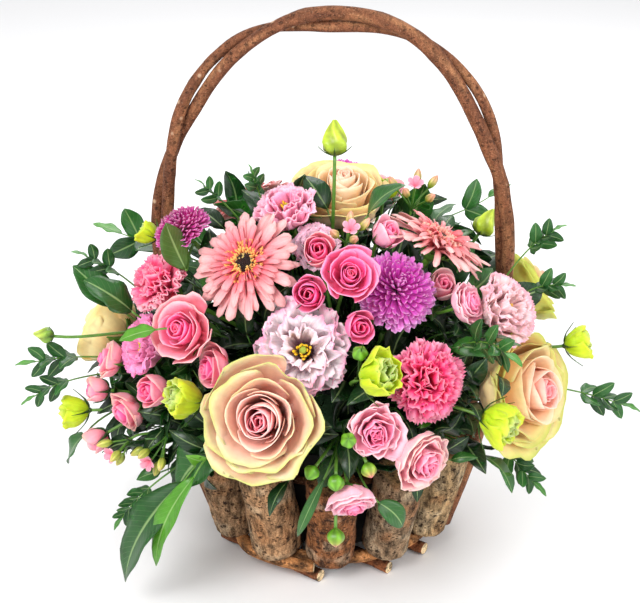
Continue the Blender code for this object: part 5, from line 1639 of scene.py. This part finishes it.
def drawn_leaves(seed=5):
    """Base, tip, face and width of the leaves that pass every test, spaced apart."""
    rng = np.random.default_rng(seed)
    bearing = rng.uniform(-180, 180, DRAWN)
    rise = rng.uniform(-12, 84, DRAWN)
    thin = rng.uniform(0, 1, DRAWN) < THIN_SHARE
    near = THIN_PLACES[rng.integers(0, len(THIN_PLACES), DRAWN)] + rng.normal(0, SPREAD, (DRAWN, 2))
    bearing = np.radians(np.where(thin, near[:, 0], bearing))
    rise = np.radians(np.where(thin, near[:, 1], rise))
    way = np.stack([np.sin(bearing) * np.cos(rise), -np.cos(bearing) * np.cos(rise), np.sin(rise)], -1)
    length = rng.uniform(30, 58, DRAWN) * MM * np.where(thin, THIN_LENGTH, 1)
    reach = rng.uniform(70, 200, DRAWN) * MM
    lean = unit(way + 0.9 * unit(rng.normal(0, 1, (DRAWN, 3))) + UP * rng.uniform(-0.35, 0.25, (DRAWN, 1)))
    base = HEART + way * reach[:, None]
    tip = base + lean * length[:, None]
    face = unit(way + 0.5 * rng.normal(0, 1, (DRAWN, 3)) + UP * 0.4)
    width = length * rng.uniform(0.36, 0.6, DRAWN)
    share = np.linspace(0.05, 1, 5)[None, :, None]
    spots = base[:, None] * (1 - share) + tip[:, None] * share
    good = clear_of_blooms(spots, BLOOM_MARGIN).all(axis=1)
    from_middle = np.linalg.norm(spots[..., :2], axis=-1)
    low_part = spots[..., 2] < RIM_TOP + RIM_MARGIN
    good &= ~(low_part & (from_middle < log_radius_at(RIM_TOP) + LOG_RADIUS * 1.5)).any(axis=1)
    good &= spots[..., 2].min(axis=1) > np.where(base[:, 0] > HANGING_SIDE, LOWEST, LOWEST_HANGING) * MM
    middles = np.array([head[1] - HEART for head in HEADS])
    nearest = np.argmax(unit(tip - HEART) @ unit(middles).T, axis=1)
    furthest = np.minimum(np.linalg.norm(middles, axis=1)[nearest], FURTHEST_TIP)
    good &= np.linalg.norm(tip - HEART, axis=1) < furthest
    vines = np.vstack([path for path, _ in vine_paths().values()])
    gap = np.linalg.norm(spots[:, :, None] - vines[None, None], axis=-1).min(axis=(1, 2))
    good &= gap > VINE_MARGIN
    chosen = []
    for k in np.flatnonzero(good):  # a leaf joins only where its middle is not too near one already there
        spacing = CLOSE_SPACING if thin[k] else USUAL_SPACING
        if not chosen or np.linalg.norm(spots[chosen, 2] - spots[k, 2], axis=1).min() > spacing:
            chosen.append(k)
        if len(chosen) == KEPT:
            break
    return base[chosen], tip[chosen], face[chosen], width[chosen], thin[chosen]


base, tip, face, width, filler = drawn_leaves()
# Most leaves between are of the dark kind, whose near-black colour is painted shade of the inside; fillers take
# it instead of the round kind.
KIND_SHARES = {"dark": 0.66, "long": 0.17, "round": 0.12, "fresh": 0.05}
KIND_SEED, SHEET_SEED = 8, 77
kind_draws = np.random.default_rng(KIND_SEED)
kinds = kind_draws.choice(list(KIND_SHARES), len(base), p=list(KIND_SHARES.values()))
kinds = np.where(filler & (kinds == "round"), "dark", kinds)
show("leaves_between", leaf_sheets(base, tip, face, width, kinds, 3, 8, SHEET_SEED), LEAF_SKIN, "leaves")
print("leaves between:", len(base))


# %% Their stalks, all in one piece
STALK_RADIUS, STALK_START = 0.8 * MM, 0.55


def stalks(base, tip):
    """Thin tubes from deep among the stems out to each leaf."""
    parts = []
    for start, end in zip(base, tip):
        root, onward = HEART + (start - HEART) * STALK_START, unit(end - start)
        path = bend(root, unit(start - HEART), start + onward * MM, onward, 4)
        parts.append(tube(path, STALK_RADIUS, STEM_GREEN, 4))
    return joined(parts)


show("leaf_stalks", stalks(base, tip), GREEN_SKIN, "leaves")

# %% [markdown]
# ## Stage, light and camera
#
# A catalogue picture is lit by large soft lights, so that shadows have no hard edge, on a pale floor.
# One large light from the front left models the petals, a weaker one from the right opens the shadows,
# and one from behind and above gives the edges of the leaves their gloss. The camera is a long lens.

# %% Floor and world
bpy.ops.mesh.primitive_plane_add(size=8, location=(0, 1.5, 0))
floor = bpy.context.object
floor.name = "floor"
floor_material = bpy.data.materials.new("pale floor")
floor_material.use_nodes = True
floor_shader = floor_material.node_tree.nodes["Principled BSDF"]
floor_shader.inputs["Base Color"].default_value = (0.86, 0.86, 0.87, 1)
floor_shader.inputs["Roughness"].default_value = 0.7
floor.data.materials.append(floor_material)

world = bpy.data.worlds.new("studio")
world.use_nodes = True
world.node_tree.nodes["Background"].inputs["Color"].default_value = (1.0, 1.0, 1.0, 1)
world.node_tree.nodes["Background"].inputs["Strength"].default_value = 0.85
bpy.context.scene.world = world
bpy.context.scene.view_settings.view_transform = "Standard"


# %% Lights
def soft_light(name, place, target, size, power):
    """A square area light that looks at a point."""
    data = bpy.data.lights.new(name, "AREA")
    data.size, data.energy = size, power
    light = bpy.data.objects.new(name, data)
    light.location = place
    light.rotation_euler = (Vector(target) - Vector(place)).to_track_quat("-Z", "Y").to_euler()
    bpy.context.scene.collection.objects.link(light)


soft_light("key", (-0.9, -1.3, 1.5), (0, 0, 0.25), 0.9, 30)
soft_light("fill", (1.3, -1.0, 0.9), (0, 0, 0.25), 1.0, 14)
soft_light("back", (0.2, 1.2, 1.4), (0, 0, 0.25), 1.0, 14)

# %% Camera
camera_data = bpy.data.cameras.new("camera")
camera_data.lens, camera_data.sensor_width = 83.5, 36
camera = bpy.data.objects.new("camera", camera_data)
camera.location = (0, -1.188, 0.789)
aim = Vector((-0.011, 0, 0.224)) - Vector(camera.location)
camera.rotation_euler = aim.to_track_quat("-Z", "Y").to_euler()
bpy.context.scene.collection.objects.link(camera)
bpy.context.scene.camera = camera

# %% Sizes, and the end
heaviest = sorted(PIECE_SIZES.items(), key=lambda item: -item[1])[:3]
print("triangles:", sum(PIECE_SIZES.values()), "heaviest:", heaviest)
